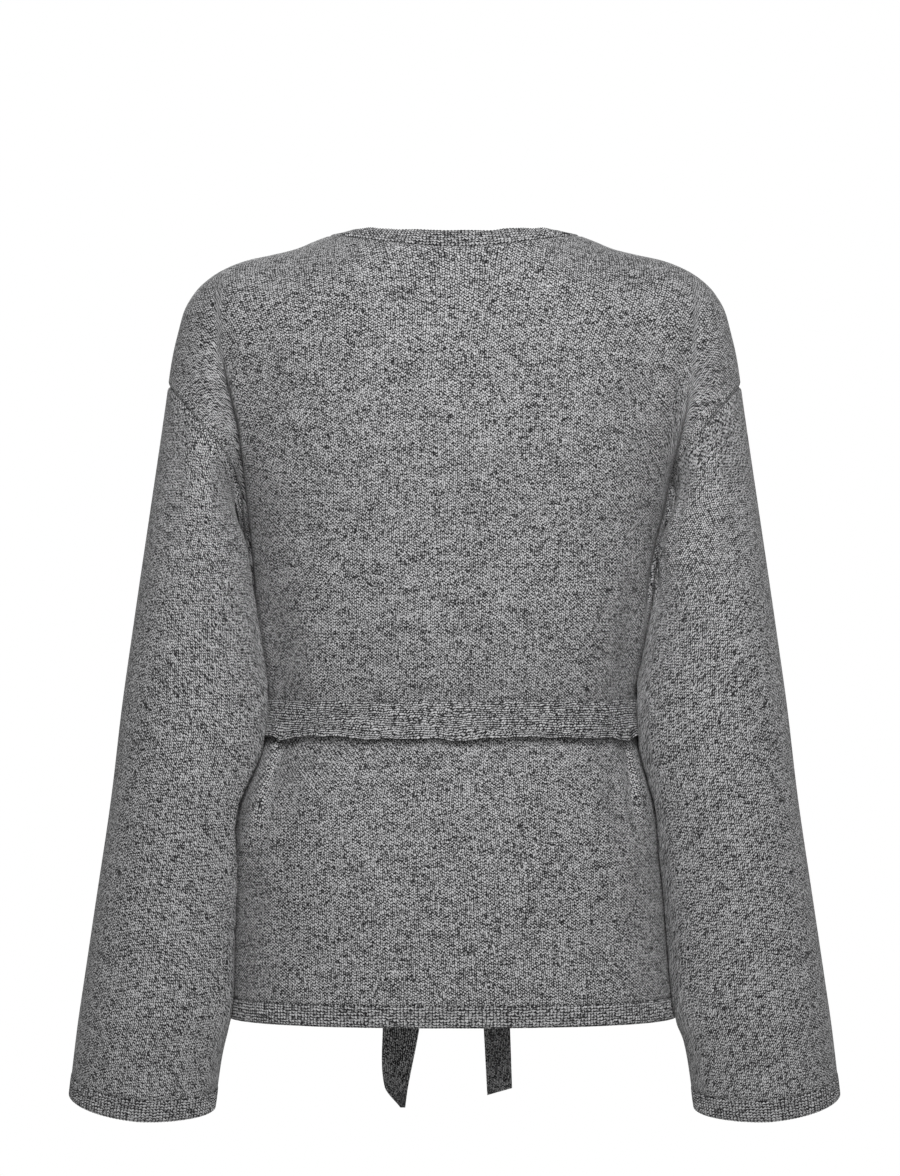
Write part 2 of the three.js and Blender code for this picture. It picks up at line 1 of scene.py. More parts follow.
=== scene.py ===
# Grey wrap cardigan, filled out as worn, seen from behind.
# Lengths in the dictionaries are millimetres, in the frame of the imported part.
import bpy
import math
import numpy as np
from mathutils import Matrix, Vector


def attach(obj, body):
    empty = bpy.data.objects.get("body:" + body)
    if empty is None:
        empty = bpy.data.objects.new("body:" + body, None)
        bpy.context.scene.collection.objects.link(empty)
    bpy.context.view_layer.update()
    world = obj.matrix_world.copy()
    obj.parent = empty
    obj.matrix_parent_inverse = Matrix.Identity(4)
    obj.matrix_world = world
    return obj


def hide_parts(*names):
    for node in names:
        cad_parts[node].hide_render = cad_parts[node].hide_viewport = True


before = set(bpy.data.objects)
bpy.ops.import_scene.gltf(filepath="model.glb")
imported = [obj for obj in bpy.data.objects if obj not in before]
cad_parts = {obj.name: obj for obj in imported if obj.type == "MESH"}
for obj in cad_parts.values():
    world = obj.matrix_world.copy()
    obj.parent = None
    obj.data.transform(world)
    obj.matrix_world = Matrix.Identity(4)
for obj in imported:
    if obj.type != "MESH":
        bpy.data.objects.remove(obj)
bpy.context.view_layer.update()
mm = 0.001  # the frame is in metres
print("frame loaded:", len(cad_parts), "nodes")


def smooth(start, end, v):
    t = np.clip((v - start) / (end - start), 0, 1)
    return t * t * (3 - 2 * t)


def lerp(a, b, t):
    return a + (b - a) * t


def unit(v):
    return v / np.maximum(np.linalg.norm(v, axis=-1, keepdims=True), 1e-9)


def stack(x, y, z):
    return np.stack(np.broadcast_arrays(x, y, z), axis=-1).astype(float)


def along(table, key, column, at):  # reads a table's column on a smooth curve through its rows
    keys = np.array(table[key], float)
    values = np.array(table[column], float)
    if keys[-1] < keys[0]:
        keys, values = keys[::-1], values[::-1]
    at = np.asarray(at, float)
    last = len(keys) - 1
    i = np.clip(np.searchsorted(keys, at, side="right") - 1, 0, last - 1)
    lower = np.maximum(np.arange(last + 1) - 1, 0)
    upper = np.minimum(np.arange(last + 1) + 1, last)
    slope = (values[upper] - values[lower]) / (keys[upper] - keys[lower])
    span = keys[i + 1] - keys[i]
    t = np.clip((at - keys[i]) / span, 0, 1)
    t2, t3 = t * t, t * t * t
    return ((2 * t3 - 3 * t2 + 1) * values[i] + (t3 - 2 * t2 + t) * span * slope[i]
            + (3 * t2 - 2 * t3) * values[i + 1] + (t3 - t2) * span * slope[i + 1])


def runLength(points, axis):  # distance run along a grid's rows or columns, from its first line
    gap = np.linalg.norm(np.diff(points, axis=axis), axis=-1)
    start = np.zeros_like(np.take(gap, [0], axis=axis))
    return np.concatenate([start, np.cumsum(gap, axis=axis)], axis=axis)


cloth = {
    "knit": 2.4, "ribKnit": 2.8, "beltKnit": 3.0,  # thicknesses
    "seam": 0.3, "armholeGap": 0.7,
    "seamLap": 0.55,  # how far sewn edges reach into each other
    "hemZ": -578, "underarmZ": -225,
    "hemRib": 16, "cuffRib": 16,
    "beltTop": -340, "beltHeight": 28,
    "roundness": 2.3,
}

# The body up to the underarm, at each height: half width on both sides and depth behind and in front.
bodyRings = {
    "z": [-578, -520, -455, -420, -390, -369, -339, -322, -285, -225, -180, -130, -80, -40, 0, 40],
    "left": [169, 168.5, 169, 166, 153, 145, 144, 146, 150, 156, 163, 170, 177, 181, 184, 184],
    "right": [165.5, 160, 155, 149.5, 141.5, 137, 137, 140, 148, 156, 163, 170, 177, 181, 184, 184],
    "back": [117, 118, 116, 111, 103, 98.5, 98.5, 102.5, 107, 108, 109, 106, 98, 87, 73, 60],
    "front": [112, 113, 110, 104, 97, 92.5, 92.5, 97, 107, 117, 114, 100, 82, 68, 56, 46],
}

# The shoulder's outline from the neck point down the arm, and what rounds the cloth over it.
shoulder = {
    "x": [95, 105, 118, 137, 157, 175, 187.8, 195.5, 201.5, 205.5, 210, 213.5, 217.5, 225, 234],
    "z": [5, 1.2, -4.2, -8.9, -13.4, -21, -30.2, -39.2, -50, -64, -83, -106, -145, -200, -250],
    "armholeTopRow": 11, "outlineSteps": 130,
    "neckHalf": 95, "neckUp": 5, "neckRise": 33, "neckShare": 0.44,
    "backNeckDrop": 10.6, "frontNeckDrop": 30, "neckPower": 1.5,
    "armRadius": 42, "armDepth": {1: 49, -1: 44}, "topRounding": {1: 52, -1: 66},
    "tubeAtNeck": 0.45, "tubeFullX": 165, "tubeFade": (-218, -150),
    "blendPower": 4, "blendUp": 0.12, "crowding": 2,
}

# The armhole seam as seen from behind, from the underarm to the shoulder.
armholeSeam = {
    "rise": [0.0, 0.2, 0.4, 0.6, 0.8, 1.0],
    "x": [156, 157, 161.5, 172, 191, 213.5],
    "z": [-225, -201, -176, -154, -132, -106],
}

# Where the upper front's edge runs, from the neck point to the hem.
wrapEdge = {
    "z": [5, -60, -130, -215, -290, -352, -420, -500, -578],
    "x": [-95, -70, -40, 0, 37, 66, 84, 93, 97],
    "lift": 4.6, "liftAcross": (-1, -0.72), "liftLevels": (1.75, 1.2),  # it stands off the lower front
}

# Soft troughs and ridges, as in the solids: half 1 behind or -1 in front, both ends, height and width.
bodyFolds = [
    (1, 175, -84, 163, -190, -4, 8),
    (1, -173, -100, -163, -190, -6, 8),
    (-1, 171, -96, 159, -185, -8, 9),
    (-1, -172, -92, -159, -185, -8, 9),
    (1, 131, -362, 157, -452, 6, 9),
    (1, -130, -362, -152, -440, 6, 9),
    (1, 114, -366, 127, -425, -4, 8),
    (1, -111, -366, -123, -435, -5, 8),
    (1, 118, -335, 128, -262, -3.5, 10),
    (1, -120, -335, -131, -255, -3.5, 10),
]

# The same again, too slight for the solids.
slightFolds = [
    (1, 138, -371, 161, -462, 4.5, 8),
    (1, -139, -371, -158, -450, 4.5, 8),
    (1, 125, -369, 138, -428, -6.5, 4),
    (1, -124, -369, -133, -434, -7, 4),
    (1, 114, -370, 116, -400, 2.8, 4),
    (1, -112, -370, -114, -396, 2.4, 4),
    (1, 127, -338, 137, -262, -3, 7),
    (1, -124, -338, -134, -256, -3.5, 7),
    (1, 112, -338, 106, -300, 1.6, 9),
    (1, -104, -338, -99, -296, 1.6, 9),
    (1, 60, -372, 48, -410, -1.2, 9),
    (1, -30, -372, -36, -402, -1.0, 8),
    (1, 20, -338, 34, -312, -1.0, 8),
    (1, -62, -338, -70, -306, -1.1, 9),
    (1, 150, -96, 108, -128, -1.6, 10),
    (1, -150, -104, -112, -132, -1.4, 10),
    (1, 138, -150, 96, -176, -1.3, 11),
    (1, -140, -158, -100, -186, -1.2, 11),
    (-1, 128, -371, 150, -450, 4, 6),
    (-1, -128, -371, -149, -455, 4.5, 6),
    (-1, 114, -370, 126, -430, -4, 5),
    (-1, -112, -370, -121, -425, -4.5, 5),
    (-1, 60, -371, 70, -440, -2, 8),
    (-1, -52, -371, -64, -430, -2.4, 8),
    (-1, -20, -371, -24, -412, 1.6, 7),
    (-1, 118, -338, 132, -258, -3, 8),
    (-1, -116, -338, -130, -262, -3, 8),
    (-1, 52, -337, 40, -280, -2, 9),
    (-1, -44, -337, -34, -268, -2.2, 9),
    (-1, -84, -337, -84, -285, 1.6, 9),
    (-1, 150, -90, 112, -140, -2, 10),
    (-1, -150, -96, -114, -148, -2, 10),
]

# Sharp creases beside the arms, from top to bottom: gentle on the arm's side and abrupt on the body's.
creases = [
    {"half": 1, "path": [(174, -79), (167.5, -108), (160.5, -136), (156.5, -168),
                         (153.5, -200), (150, -236), (147, -275)],
     "depth": 17, "outer": 8, "inner": 1.2, "sharp": 0.6, "fadeIn": 0.3},
    {"half": 1, "path": [(-178, -100), (-172, -128), (-164, -160), (-157, -195),
                         (-149, -225), (-144, -250), (-141, -280)],
     "depth": 13, "outer": 9, "inner": 1.4, "sharp": 0.6, "fadeIn": 0.4},
    {"half": -1, "path": [(172, -92), (163, -132), (155, -190), (153, -245)],
     "depth": 5, "outer": 8, "inner": 3.0, "sharp": 0.3, "fadeIn": 0.4},
    {"half": -1, "path": [(-173, -88), (-162, -130), (-155, -188), (-153, -245)],
     "depth": 5.5, "outer": 8, "inner": 2.6, "sharp": 0.3, "fadeIn": 0.4},
]

creaseForm = {
    "foldEnds": (0.06, 0.94), "foldTaper": 0.7,  # how soft folds rise from nothing at both ends
    "sharpWidth": 1.3, "fadeOut": 0.85,  # the sharp creases' arm side, and where they begin to end
}

# Slight unevenness all over the cloth: wavelength, direction in degrees and height of each wave.
ripples = {
    "waves": [(17, 12, 0.22), (23, 75, 0.2), (31, 140, 0.26), (13, 100, 0.12), (44, 40, 0.35)],
    "warp": 1.7, "warpLength": 2.3, "phase": 2.1, "backShift": 40,
    "fullDepth": 30,  # nearer than this to the front and back's common edge, all folds are weaker
}


def outlineAt(rows, t):
    last = len(rows) - 1
    p = np.asarray(t, float) * last
    i = np.minimum(np.floor(p).astype(int), last)
    w = (p - i)[..., None]
    p0 = rows[np.maximum(i - 1, 0)]
    p1 = rows[i]
    p2 = rows[np.minimum(i + 1, last)]
    p3 = rows[np.minimum(i + 2, last)]
    v0, v1 = (p2 - p0) * 0.5, (p3 - p1) * 0.5
    return ((2 * p1 - 2 * p2 + v0 + v1) * w ** 3 + (-3 * p1 + 3 * p2 - 2 * v0 - v1) * w ** 2 + v0 * w + p1)


outlineRows = np.stack([shoulder["x"], shoulder["z"]], axis=1).astype(float)
outlineLine = outlineAt(outlineRows, np.linspace(0, 1, shoulder["outlineSteps"] + 1))
armholeTop = shoulder["armholeTopRow"] / (len(shoulder["x"]) - 1)


def insideOutline(x, z):  # distance to the shoulder's outline
    shape = np.broadcast(x, z).shape
    spots = np.stack(np.broadcast_arrays(x, z), axis=-1).reshape(-1, 2)
    best = np.full(len(spots), 1e9)
    for a, b in zip(outlineLine[:-1], outlineLine[1:]):
        run = b - a
        t = np.clip(((spots - a) @ run) / (run @ run), 0, 1)
        best = np.minimum(best, np.hypot(*(spots - a - t[:, None] * run).T))
    return best.reshape(shape)


def ridge(x):  # height of the shoulders' ridge, carried on over the neck
    rows = {"x": shoulder["x"][:8], "z": shoulder["z"][:8]}
    half = shoulder["neckHalf"]
    over = shoulder["neckUp"] + shoulder["neckRise"] * (1 - (x / half) ** 2)
    return np.where(x >= half, along(rows, "x", "z", np.maximum(x, half)), over)


def ringPoint(half, across, z):
    angle = np.abs(across) * np.pi / 2
    side = np.where(across < 0, along(bodyRings, "z", "right", z), along(bodyRings, "z", "left", z))
    depth = along(bodyRings, "z", "back" if half > 0 else "front", z)
    power = cloth["roundness"]
    radius = ((np.sin(angle) / side) ** power + (np.cos(angle) / depth) ** power) ** (-1 / power)
    return radius * np.sin(angle), radius * np.cos(angle)


def topEdge(half, share):
    cut = shoulder["neckShare"]
    p = outlineAt(outlineRows, np.clip((share - cut) / (1 - cut), 0, 1) * armholeTop)
    x = np.clip(share / cut, 0, 1) * shoulder["neckHalf"]
    drop = shoulder["backNeckDrop"] if half > 0 else shoulder["frontNeckDrop"]
    z = shoulder["neckUp"] - drop * (1 - (x / shoulder["neckHalf"]) ** 2) ** shoulder["neckPower"]
    return np.where(share >= cut, p[..., 0], x), np.where(share >= cut, p[..., 1], z)


def plan(half, share, up):  # one side above the underarm, as seen from behind
    low = cloth["underarmZ"]
    one = np.ones(1)
    tx, tz = topEdge(half, share)
    bx, _ = ringPoint(half, share, low)
    cornerX = ringPoint(half, one, low)[0][0]
    middleX, middleZ = (v[0] for v in topEdge(half, 0 * one))
    endX, endZ = (v[0] for v in topEdge(half, one))
    ax = along(armholeSeam, "rise", "x", up)
    az = along(armholeSeam, "rise", "z", up)
    centreZ = lerp(low, middleZ, up)
    x = ((1 - up) * bx + up * tx + share * ax - (1 - up) * share * cornerX
         - up * (1 - share) * middleX - up * share * endX)
    z = ((1 - up) * low + up * tz + (1 - share) * centreZ + share * az - (1 - up) * (1 - share) * low
         - (1 - up) * share * low - up * (1 - share) * middleZ - up * share * endZ)
    return x, z


def upperDepth(half, x, z):
    power = cloth["roundness"]
    across = np.clip(x / along(bodyRings, "z", "left", z), 0, 1) ** power
    ring = along(bodyRings, "z", "back" if half > 0 else "front", z) * (1 - across) ** (1 / power)
    inside = np.clip((ridge(np.minimum(x, shoulder["x"][7])) - z) / shoulder["topRounding"][half], 0, 1)
    torso = ring * np.sqrt(1 - (1 - inside) ** 2)
    away = insideOutline(x, z) / shoulder["armRadius"]
    grown = smooth(shoulder["neckHalf"], shoulder["tubeFullX"], x)
    tube = shoulder["armDepth"][half] * lerp(shoulder["tubeAtNeck"], 1, grown)
    arm = tube * np.sqrt(np.clip(1 - (away - 1) ** 2, 0, 1)) * smooth(*shoulder["tubeFade"], z) * (away < 2)
    mix = shoulder["blendPower"]
    return (torso ** mix + arm ** mix) ** (1 / mix)


def foldHeight(folds, half, x, z):
    total = np.zeros(np.broadcast(x, z).shape)
    for side, x0, z0, x1, z1, height, width in folds:
        if side != half:
            continue
        dx, dz = x1 - x0, z1 - z0
        run = np.clip(((x - x0) * dx + (z - z0) * dz) / (dx * dx + dz * dz), 0, 1)
        off = np.hypot(x - x0 - run * dx, z - z0 - run * dz)
        taper = np.sin(np.pi * lerp(*creaseForm["foldEnds"], run)) ** creaseForm["foldTaper"]
        total = total + height * taper * np.exp(-((off / width) ** 2))
    return total


def creaseHeight(half, x, z):  # finds the nearest spot of each path, and on which side of it this one lies
    total = np.zeros(np.broadcast(x, z).shape)
    for crease in creases:
        if crease["half"] != half:
            continue
        path = np.array(crease["path"], float)
        steps = np.linalg.norm(np.diff(path, axis=0), axis=1)
        start = np.concatenate([[0], np.cumsum(steps)])
        best = np.full(total.shape, 1e9)
        side = np.zeros(total.shape)
        run = np.zeros(total.shape)
        for a, b, s, step in zip(path[:-1], path[1:], start, steps):
            d = (b - a) / step
            t = np.clip((x - a[0]) * d[0] + (z - a[1]) * d[1], 0, step)
            offX, offZ = x - a[0] - t * d[0], z - a[1] - t * d[1]
            off = np.hypot(offX, offZ)
            nearer = off < best
            best = np.where(nearer, off, best)
            side = np.where(nearer, (d[0] * offZ - d[1] * offX) * np.sign(path[0, 0]), side)
            run = np.where(nearer, (s + t) / start[-1], run)
        sharp, inner = crease["sharp"], crease["inner"]
        armSide = sharp * np.exp(-((best / (creaseForm["sharpWidth"] * inner)) ** 2))
        armSide = armSide + (1 - sharp) * np.exp(-((best / crease["outer"]) ** 2))
        depth = crease["depth"] * smooth(0, crease["fadeIn"], run) * smooth(1, creaseForm["fadeOut"], run)
        total = total - depth * np.where(side > 0, armSide, np.exp(-((best / inner) ** 2)))
    return total


def rippleHeight(a, b):
    total = 0
    for k, (length, degrees, height) in enumerate(ripples["waves"]):
        turn = math.radians(degrees)
        ahead = a * math.cos(turn) + b * math.sin(turn)
        aside = a * math.sin(turn) - b * math.cos(turn)
        warp = ripples["warp"] * np.sin(aside / (ripples["warpLength"] * length) + k)
        total = total + height * np.sin(ahead * 2 * np.pi / length + warp + ripples["phase"] * k)
    return total


# On the body, across runs from -1 to 1 between the side seams or armholes, and level from 0 at the hem
# over 1 at the underarm to 2 at the shoulders and neck.
def flatPlaces(half, across, level):  # a spot's place as seen from behind, by the lower and the upper form
    share = np.minimum(1, np.abs(across))
    zLow = lerp(cloth["hemZ"], cloth["underarmZ"], np.clip(level, 0, 1))
    up = 1 - (1 - np.clip(level - 1, 0, 1)) ** shoulder["crowding"]
    return share, up, zLow, ringPoint(half, across, zLow), plan(half, share, up)


def skin(half, across, level):
    across, level = np.broadcast_arrays(np.asarray(across, float), np.asarray(level, float))
    sign = np.where(across < 0, -1.0, 1.0)
    share, up, zLow, (xLow, depthLow), (xUp, zUp) = flatPlaces(half, across, level)
    depthUp = upperDepth(half, xUp, zUp)
    low = smooth(shoulder["blendUp"], 0, up)
    depthUp = lerp(depthUp, ringPoint(half, share, np.full_like(share, cloth["underarmZ"]))[1], low)
    depthUp = np.where((level > 2 - 1e-6) & (share >= shoulder["neckShare"]), 0, depthUp)
    below = level <= 1
    x, z = np.where(below, xLow, xUp), np.where(below, zLow, zUp)
    depth = np.where(below, depthLow, depthUp)
    fold = foldHeight(bodyFolds + slightFolds, half, sign * x, z) + creaseHeight(half, sign * x, z)
    fold = fold + rippleHeight(sign * x + half * ripples["backShift"], z)
    fold = fold * smooth(0, ripples["fullDepth"], depth)
    return stack(sign * x, half * (depth + fold), z)


def outward(half, across, level, step=0.004):
    across, level = np.broadcast_arrays(np.asarray(across, float), np.asarray(level, float))
    up = skin(half, across, np.minimum(2, level + step)) - skin(half, across, np.maximum(0, level - step))
    side = skin(half, np.minimum(1, across + step), level) - skin(half, np.maximum(-1, across - step), level)
    return unit(np.cross(up, side)) * half


# Where the cloth's outward side is evened towards its edges, in the same measures.
panelEdge = {
    "armholeFrom": 0.93, "armholeBy": 1.04, "nearLevels": (-0.12, -0.06, 0.06, 0.12),
    "ridgeFrom": 1.985, "sideFrom": 0.985,
}


def panel(half, across, level, lift=0):  # a body panel's middle surface and its outward side
    across, level = np.broadcast_arrays(np.asarray(across, float), np.asarray(level, float))
    spot = skin(half, across, level)
    out = outward(half, across, level)
    share = np.abs(across)
    atArmhole = smooth(panelEdge["armholeFrom"], 1, share) * smooth(1, panelEdge["armholeBy"], level)
    edge = atArmhole > 0
    even = out[edge]
    for near in panelEdge["nearLevels"]:
        even = even + outward(half, across[edge], 1 + np.clip(level[edge] - 1 + near, 0, 1))
    out[edge] = unit(lerp(out[edge], unit(even), atArmhole[edge][:, None]))
    flat = out * np.array([1, 0, 1])
    atRidge = (smooth(panelEdge["ridgeFrom"], 2, level) * (share > shoulder["neckShare"] - 1e-6))[..., None]
    out = unit(lerp(out, flat, atRidge))
    side = out * np.array([1, 0, 1])
    atSide = (smooth(panelEdge["sideFrom"], 1, share) * (level <= 1))[..., None]
    out = unit(lerp(out, side, atSide))
    spot = spot + out * np.asarray(lift, float)[..., None]
    near = np.abs(spot[..., 1]) < cloth["seam"]
    spot[..., 1] = np.where(near, half * cloth["seam"] * 0.5, spot[..., 1])
    return spot, out


def lapped(middle, ends, by=cloth["seamLap"]):  # no light shows through where sewn edges lap
    made = middle.copy()
    if "first" in ends:
        made[0] += unit(middle[0] - middle[1]) * by
    if "last" in ends:
        made[-1] += unit(middle[-1] - middle[-2]) * by
    if "sides" in ends:
        made[:, 0] += unit(middle[:, 0] - middle[:, 1]) * by
        made[:, -1] += unit(middle[:, -1] - middle[:, -2]) * by
    return made


def levelOf(z):
    return (z - cloth["hemZ"]) / (cloth["underarmZ"] - cloth["hemZ"])


ribLevel = levelOf(cloth["hemZ"] + cloth["hemRib"])
seamLevel = levelOf(cloth["hemZ"] + cloth["hemRib"] + cloth["seam"])


def drawnIn(edge, nextLine, pull):  # pull towards the next line, but never half the way
    step = nextLine - edge
    length = np.linalg.norm(step, axis=-1, keepdims=True)
    return unit(step) * np.minimum(pull, 0.45 * length)


# A closed shell about a grid of points, which may close round into a tube. Its edges are rounded: both
# faces stop short of the grid's edge by pull.
def clothMesh(name, middle, out, thick, uv, around=False, pull=1.0):
    rows, columns = middle.shape[:2]
    inner = middle.copy()
    inner[0] += drawnIn(middle[0], middle[1], pull)
    inner[-1] += drawnIn(middle[-1], middle[-2], pull)
    if not around:
        inner[:, 0] += drawnIn(middle[:, 0], middle[:, 1], pull)
        inner[:, -1] += drawnIn(middle[:, -1], middle[:, -2], pull)
    index = np.arange(rows * columns).reshape(rows, columns)
    if around:
        rims = [[(0, c) for c in range(columns)], [(rows - 1, c) for c in range(columns)]]
    else:
        loop = [(0, c) for c in range(columns)] + [(r, columns - 1) for r in range(1, rows)]
        loop += [(rows - 1, c) for c in range(columns - 2, -1, -1)] + [(r, 0) for r in range(rows - 2, 0, -1)]
        rims = [loop]
    spots = [(inner + out * thick / 2).reshape(-1, 3), (inner - out * thick / 2).reshape(-1, 3)]
    count = rows * columns
    base = 2 * count
    uvCount = uv.shape[1]
    uvIndex = np.arange(rows * uvCount).reshape(rows, uvCount)
    span = columns if around else columns - 1
    r, c = np.meshgrid(np.arange(rows - 1), np.arange(span), indexing="ij")
    nextC = (c + 1) % columns
    quad = [index[r, c], index[r, nextC], index[r + 1, nextC], index[r + 1, c]]
    quad = np.stack(quad, axis=-1).reshape(-1, 4)
    quadUv = [uvIndex[r, c], uvIndex[r, c + 1], uvIndex[r + 1, c + 1], uvIndex[r + 1, c]]
    quadUv = np.stack(quadUv, axis=-1).reshape(-1, 4)
    faces = [quad, quad[:, ::-1] + count]
    faceUv = [quadUv, quadUv[:, ::-1]]
    for rim in rims:
        rim = np.array(rim)
        spots.append(middle[rim[:, 0], rim[:, 1]])
        number = np.arange(len(rim))
        following = (number + 1) % len(rim)
        edge = index[rim[:, 0], rim[:, 1]]
        edgeUv = uvIndex[rim[:, 0], rim[:, 1]]
        nextUv = edgeUv[following]
        if around:
            column = np.where(following == 0, uvCount - 1, rim[following, 1])
            nextUv = uvIndex[rim[following, 0], column]
        turned = rim[0, 0] == 0 or not around
        for layer in (0, 1):
            face = edge + layer * count
            side = np.stack([face, base + number, base + following, face[following]], axis=-1)
            sideUv = np.stack([edgeUv, edgeUv, nextUv, nextUv], axis=-1)
            if (layer == 0) != turned:
                side, sideUv = side[:, ::-1], sideUv[:, ::-1]
            faces.append(side)
            faceUv.append(sideUv)
        base += len(rim)
    cornerUv = uv.reshape(-1, 2)[np.concatenate(faceUv)]
    return meshFrom(name, np.concatenate(spots), np.concatenate(faces), cornerUv)


def meshFrom(name, spots, faces, cornerUv):
    corners = spots[faces[:, [0, 1, 2, 0, 2, 3]]].reshape(-1, 3, 3)
    volume = np.einsum("ij,ij->i", corners[:, 0], np.cross(corners[:, 1], corners[:, 2])).sum()
    if volume < 0:
        faces, cornerUv = faces[:, ::-1], cornerUv[:, ::-1]
    mesh = bpy.data.meshes.new(name)
    mesh.vertices.add(len(spots))
    mesh.vertices.foreach_set("co", (spots * mm).astype(np.float32).ravel())
    mesh.loops.add(faces.size)
    mesh.loops.foreach_set("vertex_index", faces.astype(np.int32).ravel())
    mesh.polygons.add(len(faces))
    mesh.polygons.foreach_set("loop_start", np.arange(0, faces.size, 4, dtype=np.int32))
    mesh.update(calc_edges=True)
    layer = mesh.uv_layers.new(name="stitches")
    layer.data.foreach_set("uv", (cornerUv * mm).astype(np.float32).ravel())
    mesh.polygons.foreach_set("use_smooth", np.ones(len(faces), bool))
    mesh.validate()
    piece = bpy.data.objects.new(name, mesh)
    bpy.context.scene.collection.objects.link(piece)
    return piece


class NodeDesk:  # adds nodes to a material, one short call each
    def __init__(self, material):
        self.nodes = material.node_tree.nodes
        self.links = material.node_tree.links

    def add(self, kind, **values):
        node = self.nodes.new(kind)
        for name, value in values.items():
            setattr(node, name, value)
        return node

    def feed(self, socket, value):
        if isinstance(value, bpy.types.NodeSocket):
            self.links.new(value, socket)
        else:
            socket.default_value = value

    def math(self, operation, a, b=0.0, c=0.0):
        node = self.add("ShaderNodeMath", operation=operation)
        for socket, value in zip(node.inputs, (a, b, c)):
            self.feed(socket, value)
        return node.outputs[0]

    def plus(self, a, b):
        return self.math("ADD", a, b)

    def minus(self, a, b):
        return self.math("SUBTRACT", a, b)

    def times(self, a, b):
        return self.math("MULTIPLY", a, b)

    def power(self, a, b):
        return self.math("POWER", a, b)

    def point(self, x, y, z=0.0):
        node = self.add("ShaderNodeCombineXYZ")
        for socket, value in zip(node.inputs, (x, y, z)):
            self.feed(socket, value)
        return node.outputs[0]

    def noise(self, vector, scale, detail=2.0, roughness=0.5):
        node = self.add("ShaderNodeTexNoise")
        self.feed(node.inputs["Vector"], vector)
        node.inputs["Scale"].default_value = scale
        node.inputs["Detail"].default_value = detail
        node.inputs["Roughness"].default_value = roughness
        return node.outputs["Fac"]

    def cloud(self, x, y, scales, detail, roughness=0.5):
        spot = self.point(self.times(x, scales[0]), self.times(y, scales[1]))
        return self.noise(spot, 1.0, detail, roughness)

    def chance(self, x, y):
        node = self.add("ShaderNodeTexWhiteNoise", noise_dimensions="2D")
        self.links.new(self.point(x, y), node.inputs["Vector"])
        return node.outputs["Value"]


knitLook = {
    "waleMm": 2.95, "courseMm": 2.2,  # size of one stitch, as the photo shows it
    "rise": 0.3, "step": 0.4,  # how far each stitch's legs climb, and the second leg's start above the first
    "swayScale": 240, "swayAcross": 0.9, "swayAlong": -1.2,  # how the rows of stitches wander
    "dark": (0.012, 0.012, 0.013, 1), "light": (0.5, 0.5, 0.508, 1), "middle": 0.19,
    "flecks": 3.0, "perStitch": 1.25,  # changes of the yarn's tone along one leg, and how strong they are
    "gap": 1.3, "courseShade": 1.3, "shadePower": 2.0, "shadeMiddle": 0.35,  # painted shade in the lines between legs and between courses, and painted highlight on the legs and loops between them
    "legShadeShare": 0.8,  # how much of the painted shade lies between all legs, not between the wales alone
    "uneven": 2.6, "pick": (1.6, 0.2),  # no two of those painted shade lines are as dark
    "fibre": 0.5, "fibreScales": (5.0, 2.2), "fibreBump": 0.5,
    "streak": 0.45, "streakScales": (0.22, 3.7),  # lighter and darker single rows
    "drift": 0.55, "driftScales": (0.07, 0.24), "driftRoughness": 0.6,  # and clouds that run along the rows
    "legRoundness": 0.6, "loopRelief": 0.55, "bumpMm": 0.45, "bump": 0.45,
    "roughness": (0.12, 0.86), "specular": 0.15, "sheen": 0.12, "sheenRoughness": 0.5,
}


